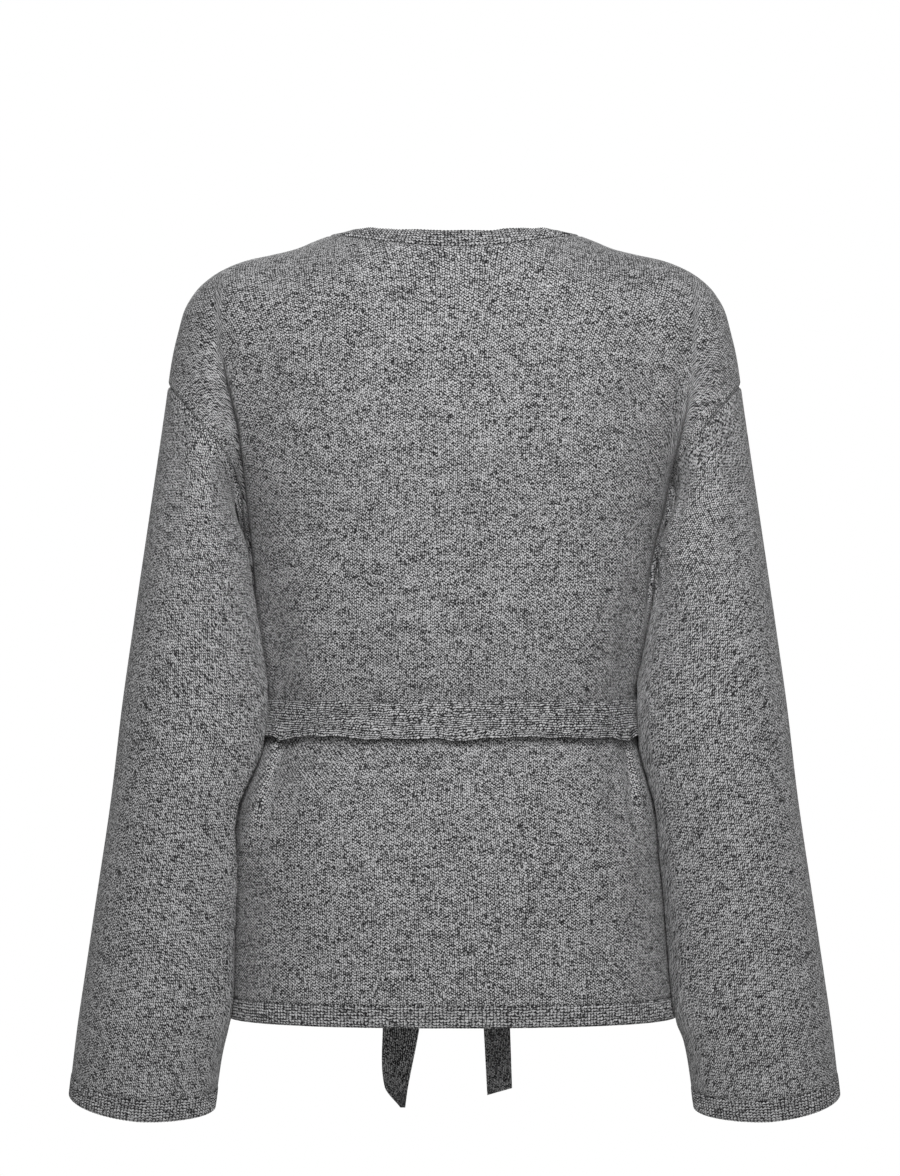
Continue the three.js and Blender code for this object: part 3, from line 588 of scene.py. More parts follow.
def knitFinish(name, look):
    material = bpy.data.materials.new(name)
    material.use_nodes = True
    desk = NodeDesk(material)
    shader = material.node_tree.nodes["Principled BSDF"]
    uv = desk.add("ShaderNodeUVMap", uv_map="stitches")
    part = desk.add("ShaderNodeSeparateXYZ")
    desk.links.new(uv.outputs[0], part.inputs[0])
    place = desk.add("ShaderNodeTexCoord").outputs["Object"]
    sway = desk.minus(desk.noise(place, look["swayScale"], 2), 0.5)
    wale = desk.times(part.outputs[0], 1000 / look["waleMm"])
    wale = desk.plus(wale, desk.times(sway, look["swayAcross"]))
    course = desk.times(part.outputs[1], 1000 / look["courseMm"])
    course = desk.plus(course, desk.times(sway, look["swayAlong"]))

    within = desk.math("FRACT", wale)
    side = desk.times(desk.math("ABSOLUTE", desk.minus(within, 0.5)), 2.0)
    second = desk.math("GREATER_THAN", within, 0.5)
    climbed = desk.minus(course, desk.times(side, look["rise"]))
    climbed = desk.plus(climbed, desk.times(second, look["step"]))
    row = desk.math("FLOOR", climbed)
    turn = desk.math("FRACT", climbed)
    twice = desk.times(wale, 2.0)  # two legs a wale
    leg = desk.math("FLOOR", twice)
    fleck = desk.math("FLOOR", desk.times(climbed, look["flecks"]))

    legs = desk.power(desk.math("SINE", desk.times(side, math.pi)), look["legRoundness"])
    loops = desk.math("SINE", desk.times(turn, math.pi))
    relief = desk.times(legs, desk.math("MULTIPLY_ADD", loops, look["loopRelief"], 1 - look["loopRelief"]))

    fibre = desk.cloud(wale, course, look["fibreScales"], 2)
    streak = desk.cloud(wale, row, look["streakScales"], 1)
    drift = desk.cloud(wale, course, look["driftScales"], 3, look["driftRoughness"])
    # painted shade between the legs and wales, painted highlight along each leg's middle
    edge = desk.math("ABSOLUTE", desk.minus(desk.times(desk.math("FRACT", twice), 2.0), 1.0))
    shadeAtLegs = desk.times(desk.power(edge, look["shadePower"]), look["legShadeShare"])
    shadeAtWales = desk.times(desk.power(side, look["shadePower"]), 1 - look["legShadeShare"])
    gap = desk.minus(look["shadeMiddle"], desk.plus(shadeAtLegs, shadeAtWales))
    gap = desk.times(gap, desk.math("MULTIPLY_ADD", desk.minus(fibre, 0.5), look["uneven"], 1.0))
    # painted shade between the courses, painted highlight on each loop's middle
    courseShade = desk.power(desk.math("ABSOLUTE", desk.math("MULTIPLY_ADD", turn, 2.0, -1.0)), look["shadePower"])
    courseShade = desk.minus(look["shadeMiddle"], courseShade)
    pick = desk.chance(desk.math("FLOOR", wale), row)
    courseShade = desk.times(courseShade, desk.math("MULTIPLY_ADD", pick, *look["pick"]))

    tone = desk.times(desk.minus(desk.chance(leg, fleck), 0.5), look["perStitch"])
    tone = desk.plus(look["middle"], tone)
    # the stitches' painted light and shade first, then the yarn's own fibre, streak and drift tones
    layers = (
        (gap, 0.0, "gap"), (courseShade, 0.0, "courseShade"),
        (fibre, 0.5, "fibre"), (streak, 0.5, "streak"), (drift, 0.5, "drift"),
    )
    for layer, middle, weight in layers:
        tone = desk.plus(tone, desk.times(desk.minus(layer, middle), look[weight]))
    # the yarn's own dark and light tones, with the painted shade and highlight of the stitches in the same
    # factor
    mix = desk.add("ShaderNodeMix", data_type="RGBA")
    mix.clamp_factor = True
    desk.links.new(tone, mix.inputs["Factor"])
    mix.inputs["A"].default_value = look["dark"]
    mix.inputs["B"].default_value = look["light"]
    color = [socket for socket in mix.outputs if socket.type == "RGBA"][0]
    desk.links.new(color, shader.inputs["Base Color"])

    bump = desk.add("ShaderNodeBump")
    bump.inputs["Strength"].default_value = look["bump"]
    bump.inputs["Distance"].default_value = look["bumpMm"] * mm
    height = desk.plus(relief, desk.times(fibre, look["fibreBump"]))
    desk.links.new(height, bump.inputs["Height"])
    desk.links.new(bump.outputs[0], shader.inputs["Normal"])
    roughness = desk.math("MULTIPLY_ADD", fibre, *look["roughness"])
    desk.links.new(roughness, shader.inputs["Roughness"])
    shader.inputs["Specular IOR Level"].default_value = look["specular"]
    shader.inputs["Sheen Weight"].default_value = look["sheen"]
    shader.inputs["Sheen Roughness"].default_value = look["sheenRoughness"]
    return material


plainKnit = knitFinish("plainKnit", knitLook)
# the ribs: less of the painted shade lies between all legs
ribLook = {**knitLook, "waleMm": 2.6, "step": 0.0, "legShadeShare": 0.3, "middle": 0.16}
ribKnit = knitFinish("ribKnit", ribLook)
# the belt: stronger painted shade between its legs and wales, weaker painted shade between its courses
beltLook = {**knitLook, "waleMm": 3.5, "gap": 2.0, "courseShade": 0.8, "legShadeShare": 0.9}
beltLook.update(perStitch=1.5, middle=0.15)
beltKnit = knitFinish("beltKnit", beltLook)
print("finishes ready")


def dress(piece, node, finish):
    piece.data.materials.append(finish)
    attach(piece, "root")
    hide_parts(node)


bodyGrid = {
    "lowRows": 112, "highRows": 92,
    "backOuter": 84, "outerPower": 1.45, "backNeck": 60,
    "frontColumns": 110, "hemColumns": 90, "frontPower": 1.35,
    "creaseColumns": 0.36, "creaseReach": 0.014,  # share of the columns drawn to a crease, and how closely
    "creaseSpots": 500, "creaseProbe": 220,  # how finely that crease is looked for along a row
    "halvings": 32,  # steps that find the wrap's edge in a row
    "clothWidth": 430,  # from side seam to side seam, laid out
}


def bodyLevels():
    low = np.linspace(seamLevel, 1, bodyGrid["lowRows"])
    high = np.linspace(1, 2, bodyGrid["highRows"] + 1)[1:]
    return np.concatenate([low, high])


def backShares():
    cut = shoulder["neckShare"]
    outer = lerp(1, cut, np.linspace(0, 1, bodyGrid["backOuter"] + 1) ** bodyGrid["outerPower"])
    neck = np.linspace(cut, -cut, bodyGrid["backNeck"] + 1)[1:-1]
    return np.concatenate([outer, neck, -outer[::-1]])


def crowded(level, shares):  # draws the back's columns together along the two sharp creases
    cut, drawn, reach = shoulder["neckShare"], bodyGrid["creaseColumns"], bodyGrid["creaseReach"]
    count = bodyGrid["backOuter"]
    steps = np.linspace(0, 1, count + 1)
    fine = np.linspace(1, cut, bodyGrid["creaseSpots"])
    even = ((1 - fine) / (1 - cut)) ** (1 / bodyGrid["outerPower"])
    made = np.tile(shares, (len(level), 1))
    rows, probe = np.meshgrid(level, np.linspace(cut, 1, bodyGrid["creaseProbe"]), indexing="ij")
    for crease in creases[:2]:
        path = np.abs(np.array(crease["path"], float))[:, ::-1]
        side = np.sign(crease["path"][0][0])
        _, _, zLow, (xLow, _), (xUp, zUp) = flatPlaces(1, side * probe, rows)
        x, z = np.where(rows <= 1, xLow, xUp), np.where(rows <= 1, zLow, zUp)
        beyond = x - np.interp(-z, path[:, 0], path[:, 1])
        for row, off in enumerate(beyond):
            centre = np.interp(0, off, probe[row])
            near = 0.5 + 0.5 * np.tanh((centre - fine) / reach)
            near = (near - near[0]) / (near[-1] - near[0])
            outer = np.interp(steps, lerp(even, near, drawn), fine)
            if side > 0:
                made[row, :count + 1] = outer
            else:
                made[row, -count - 1:] = -outer[::-1]
    return made


seamForm = {"depth": 1.5, "width": 1.3, "shoulderShare": 0.25}  # how far the seams draw the cloth in


def sunken(middle, out, level, ends):  # draws the cloth in along the armhole and neck seams
    away = np.full(middle.shape[:2], 99.0)
    rows = level[:, 0] >= 1
    for end in ends:
        gap = np.linalg.norm(middle[rows] - middle[rows][:, end:end + 1 or None], axis=-1)
        away[rows] = np.minimum(away[rows], gap)
    drawn = np.exp(-((away / seamForm["width"]) ** 2))
    top = np.linalg.norm(middle - middle[-1:], axis=-1)
    atNeck = np.abs(middle[-1:, :, 0]) < shoulder["neckHalf"] - 1
    weight = np.where(atNeck, 1, seamForm["shoulderShare"])
    drawn = np.maximum(drawn, weight * np.exp(-((top / seamForm["width"]) ** 2)))
    return middle - out * (seamForm["depth"] * drawn)[..., None]


def makeBack():
    level = np.tile(bodyLevels()[:, None], (1, len(backShares())))
    middle, out = panel(1, crowded(bodyLevels(), backShares()), level)
    over = runLength(middle, 1)
    u = (over / over[:, -1:] - 0.5) * bodyGrid["clothWidth"]  # the wales fan out with the cloth's width
    uv = np.stack([u, runLength(middle, 0)], axis=-1)
    middle = sunken(middle, out, level, (0, -1))
    middle = lapped(middle, ("first", "last", "sides"))
    piece = clothMesh("back_knit", middle, out, cloth["knit"], uv)
    dress(piece, "back", plainKnit)


def wrapShare(side, level):  # where the wrap's edge crosses a row of the body
    low, high = np.full_like(level, -1.0), np.full_like(level, 1.0)
    for _ in range(bodyGrid["halvings"]):
        middle = (low + high) / 2
        p = skin(-1, middle, level)
        over = p[..., 0] > -side * along(wrapEdge, "z", "x", p[..., 2])
        high = np.where(over, middle, high)
        low = np.where(over, low, middle)
    return np.where(level > 2 - 1e-6, side * shoulder["neckShare"], (low + high) / 2)


def frontPanel(side, share, level):
    rows, back = np.unique(level, return_inverse=True)
    across = lerp(side, wrapShare(side, rows)[back].reshape(np.shape(level)), share)
    lift = 0 * across
    if side < 0:
        lift = wrapEdge["lift"] * smooth(*wrapEdge["liftAcross"], across)
        lift = lift * smooth(*wrapEdge["liftLevels"], level)
    return panel(-1, across, level, lift)


def frontShares(columns):
    return np.linspace(0, 1, columns + 1) ** bodyGrid["frontPower"]


def makeFront(side, name):
    level, share = np.meshgrid(bodyLevels(), frontShares(bodyGrid["frontColumns"]), indexing="ij")
    middle, out = frontPanel(side, share, level)
    uv = np.stack([runLength(middle, 1), runLength(middle, 0)], axis=-1)
    middle = sunken(middle, out, level, (0,))
    middle = lapped(middle, ("first", "last", "sides"))
    piece = clothMesh(name + "_knit", middle, out, cloth["knit"], uv)
    dress(piece, name, plainKnit)


makeBack()
makeFront(1, "front_left")
makeFront(-1, "front_right")
print("back and fronts made")

ribForm = {
    "pitch": 2.6, "depth": 0.32, "perRib": 5, "roundness": 0.8, "edgePull": 0.9,
    "hemRows": 8, "fade": [0.8, 0.35],  # how far the ribs still rise in the last rows before the seam
}


# Even steps along the middle row, so that every rib gets the same number of columns.
def resample(points, out, spacing, closed):
    line = points[points.shape[0] // 2]
    if closed:
        line = np.concatenate([line, line[:1]])
    run = runLength(line[None], 1)[0]
    count = max(2, int(round(run[-1] / spacing / ribForm["perRib"]))) * ribForm["perRib"]
    at = np.linspace(0, run[-1], count + 1)
    made = []
    for grid in (points, out):
        if closed:
            grid = np.concatenate([grid, grid[:, :1]], axis=1)
        flat = np.stack([[np.interp(at, run, row[:, k]) for k in range(grid.shape[2])] for row in grid])
        made.append(flat.transpose(0, 2, 1))
    return (*made, count)


def ribbed(name, middle, out, fade, laps, closed=False):
    spacing = ribForm["pitch"] / ribForm["perRib"]
    middle, out, count = resample(middle, out, spacing, closed)
    out = unit(out)
    turns = np.arange(count + 1) / ribForm["perRib"]
    wave = np.cos(2 * np.pi * turns)
    raised = np.sign(wave) * np.abs(wave) ** ribForm["roundness"] * ribForm["depth"]
    middle = middle + out * (raised[None, :] * fade[:, None])[..., None]
    u = np.broadcast_to(turns * ribForm["pitch"], middle.shape[:2])
    v = runLength(middle, 0)
    uv = np.stack([u, v], axis=-1)
    middle = lapped(middle, laps)
    if closed:
        middle, out = middle[:, :-1], out[:, :-1]
    return clothMesh(name, middle, out, cloth["ribKnit"], uv, closed, ribForm["edgePull"])


def hemFade(rows):
    return np.concatenate([np.ones(rows - len(ribForm["fade"])), ribForm["fade"]])


def makeHem(name, panelAt, columns, node):
    rows = ribForm["hemRows"]
    level, across = np.meshgrid(np.linspace(0, ribLevel, rows), columns, indexing="ij")
    middle, out = panelAt(across, level)
    piece = ribbed(name, middle, out, hemFade(rows), ("last",))
    dress(piece, node, ribKnit)


frontColumns = frontShares(bodyGrid["hemColumns"])
makeHem("hem_back_rib", lambda a, l: panel(1, a, l), backShares(), "hem_rib_back")
makeHem("hem_left_rib", lambda a, l: frontPanel(1, a, l), frontColumns, "hem_rib_left")
makeHem("hem_right_rib", lambda a, l: frontPanel(-1, a, l), frontColumns, "hem_rib_right")
print("hem ribs made")

bandForm = {
    "leanMiddle": 0.0, "leanNeckPoint": -0.5, "leanFrom": 1.7, "leanPower": 3,
    "reach": [0.3, 0.9, 1.7, 2.8, 4.5, 7, 10, 14],  # rows across the band, from its seam to its edge
    "fade": [0.3, 0.7],  # how far the ribs rise in the first rows
    "turnedBy": 0.35, "edgeRows": 320, "neckColumns": 90,
}


def bandLine():  # up the left front's edge, round the back neck and down the right front's edge
    level = np.linspace(0, 2, bandForm["edgeRows"])
    sides = []
    for side in (1, -1):
        spot, out = frontPanel(side, np.ones_like(level), level)
        lean = bandForm["leanNeckPoint"] * smooth(bandForm["leanFrom"], 2, level)
        sides.append((spot, out, lean))
    cut = shoulder["neckShare"]
    across = np.linspace(cut, -cut, bandForm["neckColumns"] + 2)[1:-1]
    spot, out = panel(1, across, np.full_like(across, 2.0))
    toPoint = (np.abs(across) / cut) ** bandForm["leanPower"]
    lean = lerp(bandForm["leanMiddle"], bandForm["leanNeckPoint"], toPoint)
    left, right = sides
    return [np.concatenate([a, b, c[::-1]]) for a, b, c in zip(left, (spot, out, lean), right)]


def makeBand():
    spot, out, lean = bandLine()
    forward = unit(np.gradient(spot, axis=0))
    inward = unit(np.cross(out, forward))
    inward[:, 2] += lean
    inward = unit(inward)
    across = unit(np.cross(forward, inward))
    reach = np.array(bandForm["reach"])
    middle = spot[None] + inward[None] * reach[:, None, None]
    turned = smooth(0, bandForm["turnedBy"], (reach - reach[0]) / (reach[-1] - reach[0]))
    side = unit(lerp(out[None], across[None], turned[:, None, None]))
    drawn = seamForm["depth"] * np.exp(-((reach / seamForm["width"]) ** 2))
    middle = middle - out[None] * drawn[:, None, None]
    fade = np.concatenate([bandForm["fade"], np.ones(len(reach) - len(bandForm["fade"]))])
    piece = ribbed("neck_rib", middle, side, fade, ("first",))
    dress(piece, "neckband", ribKnit)


makeBand()
print("neckband made")

# The sleeve below its head, at each height: its inner and outer side, its middle and half depth from
# front to back, and how far the ring leans.
sleeveRings = {
    "z": [-290, -350, -420, -500, -560, -590, -641],
    "inner": [140, 133, 146, 156, 160, 172, 180.5],
    "outer": [238, 246.2, 254.5, 266.5, 275.5, 280.2, 287],
    "y": [27, 30, 31, 29, 27, 22, 10],
    "depth": [50, 50, 48, 46, 45, 44, 43],
    "lean": [0, 0.02, 0.05, 0.12, 0.18, 0.22, 0.27],
    "tilt": 0.095, "innerFall": 0.18,
}
sleeveForm = {
    "top": -290, "end": -641, "round": 300,
    "leaving": 0.45, "arriving": 0.9,  # how straight the head leaves the armhole and meets the sleeve
    "archWidth": 3, "archDepth": 40, "archTop": -160, "archRise": (0, 0.12), "archEnd": (0.6, 0.3),
    "bodyGap": 1.9, "clearFrom": (0.05, 0.25),
    "beltStand": 4, "beltAbove": (14, 2), "beltBelow": (-12, -1),  # more room beside the belt
    "crookGap": 0.4, "crookBelow": (-40, -3), "crookAbove": 12,  # and just under the arm
    # The sleeve's inner side drawn in under the arm, away from its middle line and from its outer side.
    "tuck": {1: 8.5, -1: 11}, "tuckZ": -222, "tuckHeight": 32,
    "tuckAside": (20, 42), "tuckInside": (185, 165), "tuckRise": (0.02, 0.2), "tuckEnd": (1, 0.85),
    "loopRows": 60, "headRows": 70, "headCrowding": 1.6, "armRows": 130, "cuffRows": 8,
    "settledRows": 6.0, "seamLap": 0.75,
}


def armholeLoop(side):  # the armhole seam, up its back and down its front
    level = np.linspace(1, 2, sleeveForm["loopRows"] + 1)
    upSpot, upOut = panel(1, np.full_like(level, side), level)
    downSpot, downOut = panel(-1, np.full_like(level, side), level)
    upSpot[[0, -1], 1] = 0
    spot = np.concatenate([upSpot, downSpot[1:-1][::-1]])
    out = np.concatenate([upOut, downOut[1:-1][::-1]])
    onward = unit(np.cross(out, np.roll(spot, -1, axis=0) - np.roll(spot, 1, axis=0))) * side
    return spot, out, onward


def clearOfBody(side, y, z):  # how far out a sleeve has to stay beside the body and belt
    level = np.minimum(z, cloth["underarmZ"])
    depth = np.where(y > 0, along(bodyRings, "z", "back", level), along(bodyRings, "z", "front", level))
    width = along(bodyRings, "z", "left" if side > 0 else "right", level)
    power = cloth["roundness"]
    x = width * (1 - np.clip(np.abs(y) / depth, 0, 1) ** power) ** (1 / power)
    top, end = cloth["beltTop"], cloth["beltTop"] - cloth["beltHeight"]
    belt = sleeveForm["beltStand"] * smooth(*sleeveForm["beltAbove"], z - top)
    belt = belt * smooth(*sleeveForm["beltBelow"], z - end)
    crook = sleeveForm["crookGap"] * smooth(*sleeveForm["crookBelow"], z - cloth["underarmZ"])
    folds = bodyFolds + slightFolds
    fold = np.where(y > 0, foldHeight(folds, 1, side * x, level), foldHeight(folds, -1, side * x, level))
    made = x + cloth["knit"] + sleeveForm["bodyGap"] + belt + crook + np.maximum(0, fold)
    return np.where(z > cloth["underarmZ"] + sleeveForm["crookAbove"], 0, made)


def sleevePoint(side, turn, z):
    def ring(column):
        return along(sleeveRings, "z", column, z)

    middle = (ring("inner") + ring("outer")) / 2
    half = (ring("outer") - ring("inner")) / 2
    angle = np.pi * (1 - 2 * turn)
    x = middle + half * np.cos(angle)
    flatter = 1 + sleeveRings["innerFall"] * np.minimum(0, np.cos(angle))
    y = ring("y") + ring("depth") * np.sin(angle) * flatter
    height = z + (x - middle) * sleeveRings["tilt"] - (y - ring("y")) * ring("lean")
    return stack(side * np.maximum(x, clearOfBody(side, y, height)), y, height)


def headPoints(side, loop, turn, t):  # from the armhole's seam, at t 0, to the sleeve's first ring, at 1
    spot, out, onward = loop
    t = t[:, None, None]
    top = np.full_like(turn, sleeveForm["top"])
    end = sleevePoint(side, turn, top)
    down = unit(sleevePoint(side, turn, top - 4) - end)
    start = spot + onward * cloth["armholeGap"]
    reach = np.linalg.norm(start - end, axis=-1, keepdims=True)
    point = ((2 * t ** 3 - 3 * t ** 2 + 1) * start
             + (t ** 3 - 2 * t ** 2 + t) * reach * sleeveForm["leaving"] * onward
             + (3 * t ** 2 - 2 * t ** 3) * end
             + (t ** 3 - t ** 2) * reach * sleeveForm["arriving"] * down)
    t = t[..., 0]
    low = np.clip(1 - np.abs(spot[:, 1]) / sleeveForm["archDepth"], 0, 1)
    low = low * smooth(sleeveForm["archTop"], cloth["underarmZ"], spot[:, 2])
    over = sleeveForm["archWidth"] * low * smooth(*sleeveForm["archRise"], t)
    over = over * smooth(*sleeveForm["archEnd"], t)
    x, y, z = side * point[..., 0], point[..., 1], point[..., 2]
    clear = clearOfBody(side, y, z) * smooth(*sleeveForm["clearFrom"], t)
    tuck = sleeveForm["tuck"][side] * np.exp(-(((z - sleeveForm["tuckZ"]) / sleeveForm["tuckHeight"]) ** 2))
    tuck = tuck * smooth(*sleeveForm["tuckAside"], np.abs(y)) * smooth(*sleeveForm["tuckInside"], x)
    tuck = tuck * smooth(*sleeveForm["tuckRise"], t) * smooth(*sleeveForm["tuckEnd"], t)
    point[..., 0] = side * np.maximum(x + over - tuck, clear)
    return point


def tubeOuts(points, side, first=None):  # a tube's outward side, from first's at its first row
    down = np.gradient(points, axis=0)
    over = np.roll(points, -1, axis=1) - np.roll(points, 1, axis=1)
    out = unit(np.cross(over, down)) * side
    if first is not None:
        settled = smooth(0.0, sleeveForm["settledRows"], np.arange(len(points)))[:, None, None]
        out = unit(lerp(first[None], out, settled))
    return out


def makeSleeve(side, name):
    loop = armholeLoop(side)
    seamOut = loop[1]
    turn = np.arange(len(seamOut)) / len(seamOut)
    rows = np.linspace(0, 1, sleeveForm["headRows"] + 1) ** sleeveForm["headCrowding"]
    head = headPoints(side, loop, turn, rows)
    away = np.linalg.norm(head - head[:1], axis=-1)
    head = head - seamOut[None] * (seamForm["depth"] * np.exp(-((away / seamForm["width"]) ** 2)))[..., None]
    cuffTop = sleeveForm["end"] + cloth["cuffRib"]
    z = np.linspace(sleeveForm["top"], cuffTop + cloth["seam"], sleeveForm["armRows"] + 1)[1:]
    zz, tt = np.meshgrid(z, turn, indexing="ij")
    middle = np.concatenate([head, sleevePoint(side, tt, zz)])
    out = tubeOuts(middle, side, seamOut)
    closedRow = np.concatenate([middle, middle[:, :1]], axis=1)
    over = runLength(closedRow, 1)
    u = over / over[:, -1:] * sleeveForm["round"]
    v = runLength(closedRow, 0)
    middle = lapped(middle, ("first", "last"), sleeveForm["seamLap"])
    piece = clothMesh(name + "_knit", middle, out, cloth["knit"], np.stack([u, v], axis=-1), True)
    dress(piece, name, plainKnit)
    rows = sleeveForm["cuffRows"]
    zz, tt = np.meshgrid(np.linspace(cuffTop, cuffTop - cloth["cuffRib"], rows), turn, indexing="ij")
    middle = sleevePoint(side, tt, zz)
    fade = hemFade(rows)[::-1]
    cuff = "cuff_" + name.split("_")[1]
    piece = ribbed(cuff + "_rib", middle, tubeOuts(middle, side), fade, ("first",), True)
    dress(piece, cuff, ribKnit)


makeSleeve(1, "sleeve_left")
makeSleeve(-1, "sleeve_right")
print("sleeves and cuffs made")

beltForm = {
    "off": 3.4, "offFront": 9.4, "frontFrom": 0.7,  # how far it stands off the body, behind and in front
    "flare": 2.2,  # more at its lower edge
    "wales": 16, "perWale": 4, "waleDepth": 0.35, "columns": 360,
    "edgeWave": 0.95, "waves": [(23, 1, 0), (11, 0.6, 1.3), (5.3, 0.5, 0.4)],  # the lower edge wanders
    "edgePull": 0.35, "tailPull": 0.3, "tailRows": 130,
}


def beltWales(q):  # the raised lines that run along the belt, from edge to edge
    return np.cos(2 * np.pi * q * beltForm["wales"]) * -beltForm["waleDepth"]


def makeBelt():
    columns = beltForm["columns"]
    backPart = np.linspace(1, -1, columns // 2, endpoint=False)
    frontPart = np.linspace(-1, 1, columns // 2, endpoint=False)
    rows = beltForm["wales"] * beltForm["perWale"] + 1
    q = np.linspace(0, 1, rows)
    level = levelOf(cloth["beltTop"] - cloth["beltHeight"] * q)
    middles, outs = [], []
    for half, shares in ((1, backPart), (-1, frontPart)):
        lv, across = np.meshgrid(level, shares, indexing="ij")
        spot, out = panel(half, across, lv)
        front = smooth(1, beltForm["frontFrom"], np.abs(across)) if half < 0 else 0 * across
        lift = lerp(beltForm["off"], beltForm["offFront"], front) + beltForm["flare"] * q[:, None]
        middles.append(spot + out * lift[..., None])
        outs.append(out)
    middle, out = np.concatenate(middles, axis=1), np.concatenate(outs, axis=1)
    closedRow = np.concatenate([middle, middle[:, :1]], axis=1)
    v = runLength(closedRow, 1)
    run = v[rows // 2][:-1]
    wander = sum(share * np.sin(run / length + start) for length, share, start in beltForm["waves"])
    middle[..., 2] -= (beltForm["edgeWave"] * wander)[None] * smooth(0.5, 1, q)[:, None]
    middle = middle + out * beltWales(q)[:, None, None]
    u = np.broadcast_to(q[:, None] * cloth["beltHeight"], v.shape)
    uv = np.stack([u, v], axis=-1)
    piece = clothMesh("belt_knit", middle, out, cloth["beltKnit"], uv, True, beltForm["edgePull"])
    dress(piece, "belt", beltKnit)


makeBelt()

knotForm = {
    "size": (18, 9, 18.5), "middle": (0, -115, -354), "square": 0.72,
    "slant": (0.55, 0.83), "bandHalf": 8, "bandRise": 0.13,  # the belt's turn that lies over the knot
    "grooveWidth": 2.0, "groove": 0.3, "pleat": 0.05, "pleatSpacing": 1.1,
    "rows": 60, "columns": 96, "pole": 0.02, "edgePull": 0.2,
}


def makeKnot():
    rise = np.linspace(knotForm["pole"], np.pi - knotForm["pole"], knotForm["rows"])
    turn = np.arange(knotForm["columns"]) / knotForm["columns"] * 2 * np.pi
    a, b = np.meshgrid(rise, turn, indexing="ij")
    ball = stack(np.sin(a) * np.cos(b), np.sin(a) * np.sin(b), np.cos(a))
    square = np.sign(ball) * np.abs(ball) ** knotForm["square"] * np.array(knotForm["size"])
    slant = square[..., 0] * knotForm["slant"][0] + square[..., 2] * knotForm["slant"][1]
    fromEdge = (np.abs(slant) - knotForm["bandHalf"]) / knotForm["grooveWidth"]
    over = knotForm["bandRise"] * smooth(1, -1, fromEdge) - knotForm["groove"] * np.exp(-(fromEdge ** 2))
    square[..., 1] *= 1 + over + knotForm["pleat"] * np.sin(slant / knotForm["pleatSpacing"])
    centre = np.array(knotForm["middle"])
    middle = square + centre
    out = tubeOuts(middle, 1)
    out = out * np.sign((out * (middle - centre)).sum(-1, keepdims=True))
    closedRow = np.concatenate([middle, middle[:, :1]], axis=1)
    uv = np.stack([runLength(closedRow, 1), runLength(closedRow, 0)], axis=-1)
    thick = cloth["beltKnit"]
    piece = clothMesh("belt_knot_knit", middle - out * thick / 2, out, thick, uv, True, knotForm["edgePull"])
    dress(piece, "belt_knot", beltKnit)


makeKnot()

# The belt's two ends, at each height: both edges, how far they hang ahead of the front, and the cut's slant.
leftTail = {
    "z": [-372.9, -392, -420, -500, -570, -599, -642, -658.5],
    "from": [1.5, 6, 9, 17, 24, 27.4, 35.9, 38.3],
    "to": [20, 32, 36, 45, 52, 55.2, 53.7, 41.5],
    "ahead": [21.6, 12, 8.5, 8.5, 8.5, 8.5, 8.5, 8.5],
    "slant": [0, 0, 0, 0, 0, 0, 0, 0],
}
rightTail = {
    "z": [-372.9, -392, -420, -500, -570, -599, -643.5],
    "from": [-20, -31, -34, -38, -41.5, -42.9, -44.4],
    "to": [-1.5, -6, -9, -15, -21, -22.8, -25.5],
    "ahead": [21.6, 12, 8.5, 8.5, 8.5, 8.5, 8.5],
    "slant": [0, 0, 0, 0, 0, 0, 5.5],
}


def makeTail(table, name):
    z = np.linspace(table["z"][0], table["z"][-1], beltForm["tailRows"])
    q = np.linspace(0, 1, beltForm["wales"] * beltForm["perWale"] + 1)

    def read(column):
        return along(table, "z", column, z)[:, None]

    held = np.maximum(z, cloth["hemZ"])
    width = along(bodyRings, "z", "left", held)[:, None]
    depth = along(bodyRings, "z", "front", held)[:, None]
    x = lerp(read("from"), read("to"), q[None])
    power = cloth["roundness"]
    front = depth * (1 - (np.abs(x) / width) ** power) ** (1 / power)
    middle = stack(x, -front - read("ahead"), z[:, None] - q[None] * read("slant"))
    out = unit(stack(x / width, -1.0 + 0 * x, 0 * x))
    middle = middle + out * beltWales(q)[None, :, None]
    u = np.broadcast_to(q[None] * cloth["beltHeight"], x.shape)
    uv = np.stack([u, runLength(middle, 0)], axis=-1)
    piece = clothMesh(name + "_knit", middle, out, cloth["beltKnit"], uv, False, beltForm["tailPull"])
    dress(piece, name, beltKnit)


makeTail(leftTail, "belt_tail_left")
makeTail(rightTail, "belt_tail_right")
print("belt made")

studio = {  # in metres
    "floorPlace": (0, 0.4, -0.95), "floorSize": 3.0, "floorColor": (0.7, 0.7, 0.69, 1), "floorRoughness": 0.9,
    "world": 0.04, "aim": (0, 0, -0.28),
    "lights": [  # place, size and power; the last three light the sides that the photo doesn't show
        ("keyLight", (-0.1, 1.5, 0.8), 1.0, 36.5),
        ("fillLight", (-0.3, 3.6, 0.3), 1.0, 18),
        ("frontLight", (0.5, -2.8, 1.0), 1.4, 52),
        ("leftLight", (2.7, -1.5, 0.9), 1.2, 20),
        ("rightLight", (-2.7, -1.5, 0.9), 1.2, 20),
    ],
    "cameraPlace": (0.003375, 4.0, -0.25725), "photoWidth": 0.675, "sensor": 36, "clipEnd": 50,
}


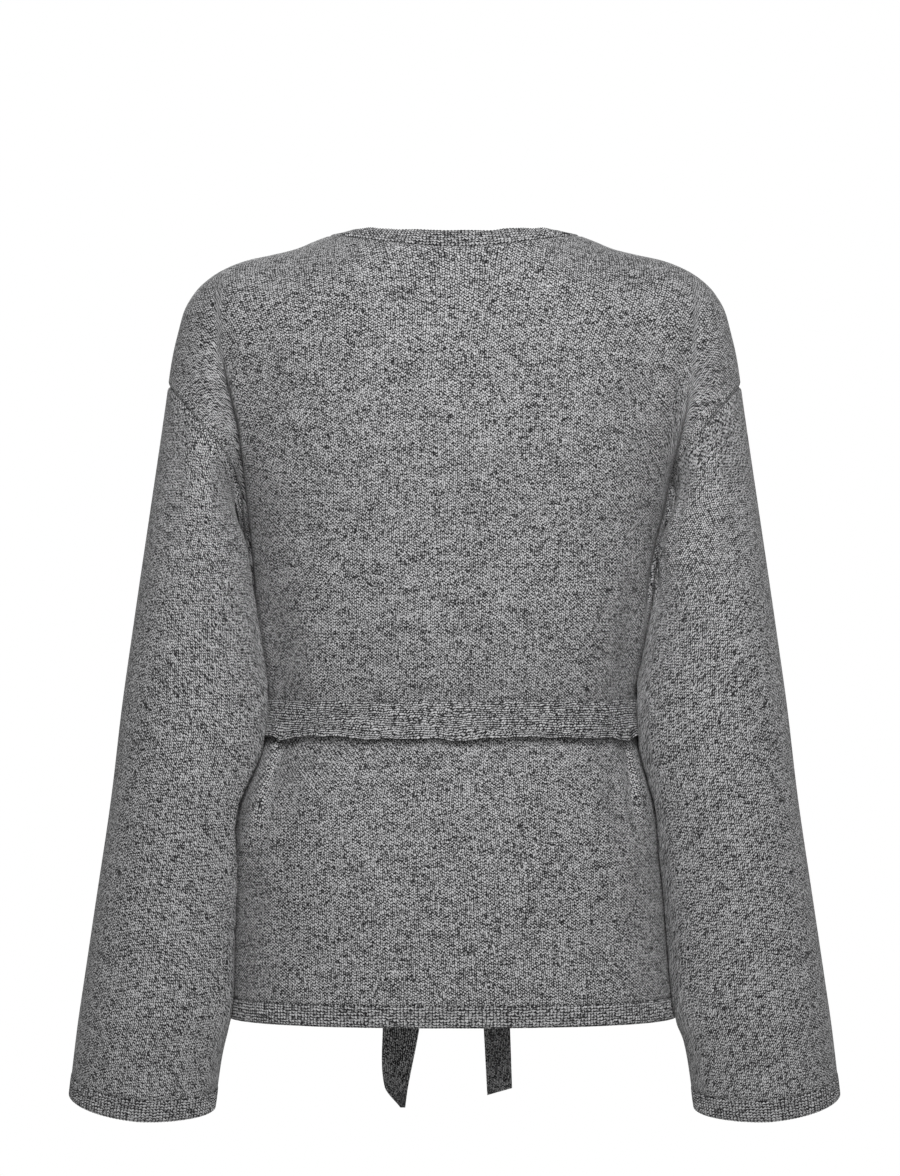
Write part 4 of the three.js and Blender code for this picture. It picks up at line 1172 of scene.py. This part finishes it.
def addFloor():
    for thing in bpy.context.selected_objects:
        thing.select_set(False)
    bpy.ops.mesh.primitive_plane_add(size=studio["floorSize"], location=studio["floorPlace"])
    floor = bpy.context.object
    floor.name = "studio_floor"
    material = bpy.data.materials.new("paleFloor")
    material.use_nodes = True
    shader = material.node_tree.nodes["Principled BSDF"]
    shader.inputs["Base Color"].default_value = studio["floorColor"]
    shader.inputs["Roughness"].default_value = studio["floorRoughness"]
    floor.data.materials.append(material)


def addLight(name, place, size, power):
    lamp = bpy.data.lights.new(name, "AREA")
    lamp.shape = "SQUARE"
    lamp.size = size
    lamp.energy = power
    thing = bpy.data.objects.new(name, lamp)
    thing.location = place
    aim = Vector(studio["aim"]) - Vector(place)
    thing.rotation_euler = aim.to_track_quat("-Z", "Y").to_euler()
    bpy.context.scene.collection.objects.link(thing)


def addWorld():
    world = bpy.data.worlds.new("paleStudio")
    world.use_nodes = True
    nodes, links = world.node_tree.nodes, world.node_tree.links
    back = nodes["Background"]
    back.inputs["Color"].default_value = (1, 1, 1, 1)
    seen = nodes.new("ShaderNodeLightPath").outputs["Is Camera Ray"]
    glow = nodes.new("ShaderNodeMapRange")  # white behind the garment, dimmer as light on it
    glow.inputs["To Min"].default_value = studio["world"]
    links.new(seen, glow.inputs["Value"])
    links.new(glow.outputs[0], back.inputs["Strength"])
    bpy.context.scene.world = world


def addCamera():
    lens = bpy.data.cameras.new("photoCamera")
    lens.sensor_fit = "HORIZONTAL"
    lens.sensor_width = studio["sensor"]
    lens.lens = studio["sensor"] * studio["cameraPlace"][1] / studio["photoWidth"]
    lens.clip_end = studio["clipEnd"]
    camera = bpy.data.objects.new("photoCamera", lens)
    camera.location = studio["cameraPlace"]
    camera.rotation_euler = (math.pi / 2, 0, math.pi)
    bpy.context.scene.collection.objects.link(camera)
    bpy.context.scene.camera = camera


addFloor()
for light in studio["lights"]:
    addLight(*light)
addWorld()
addCamera()
bpy.context.scene.view_settings.view_transform = "Standard"
print("studio ready")
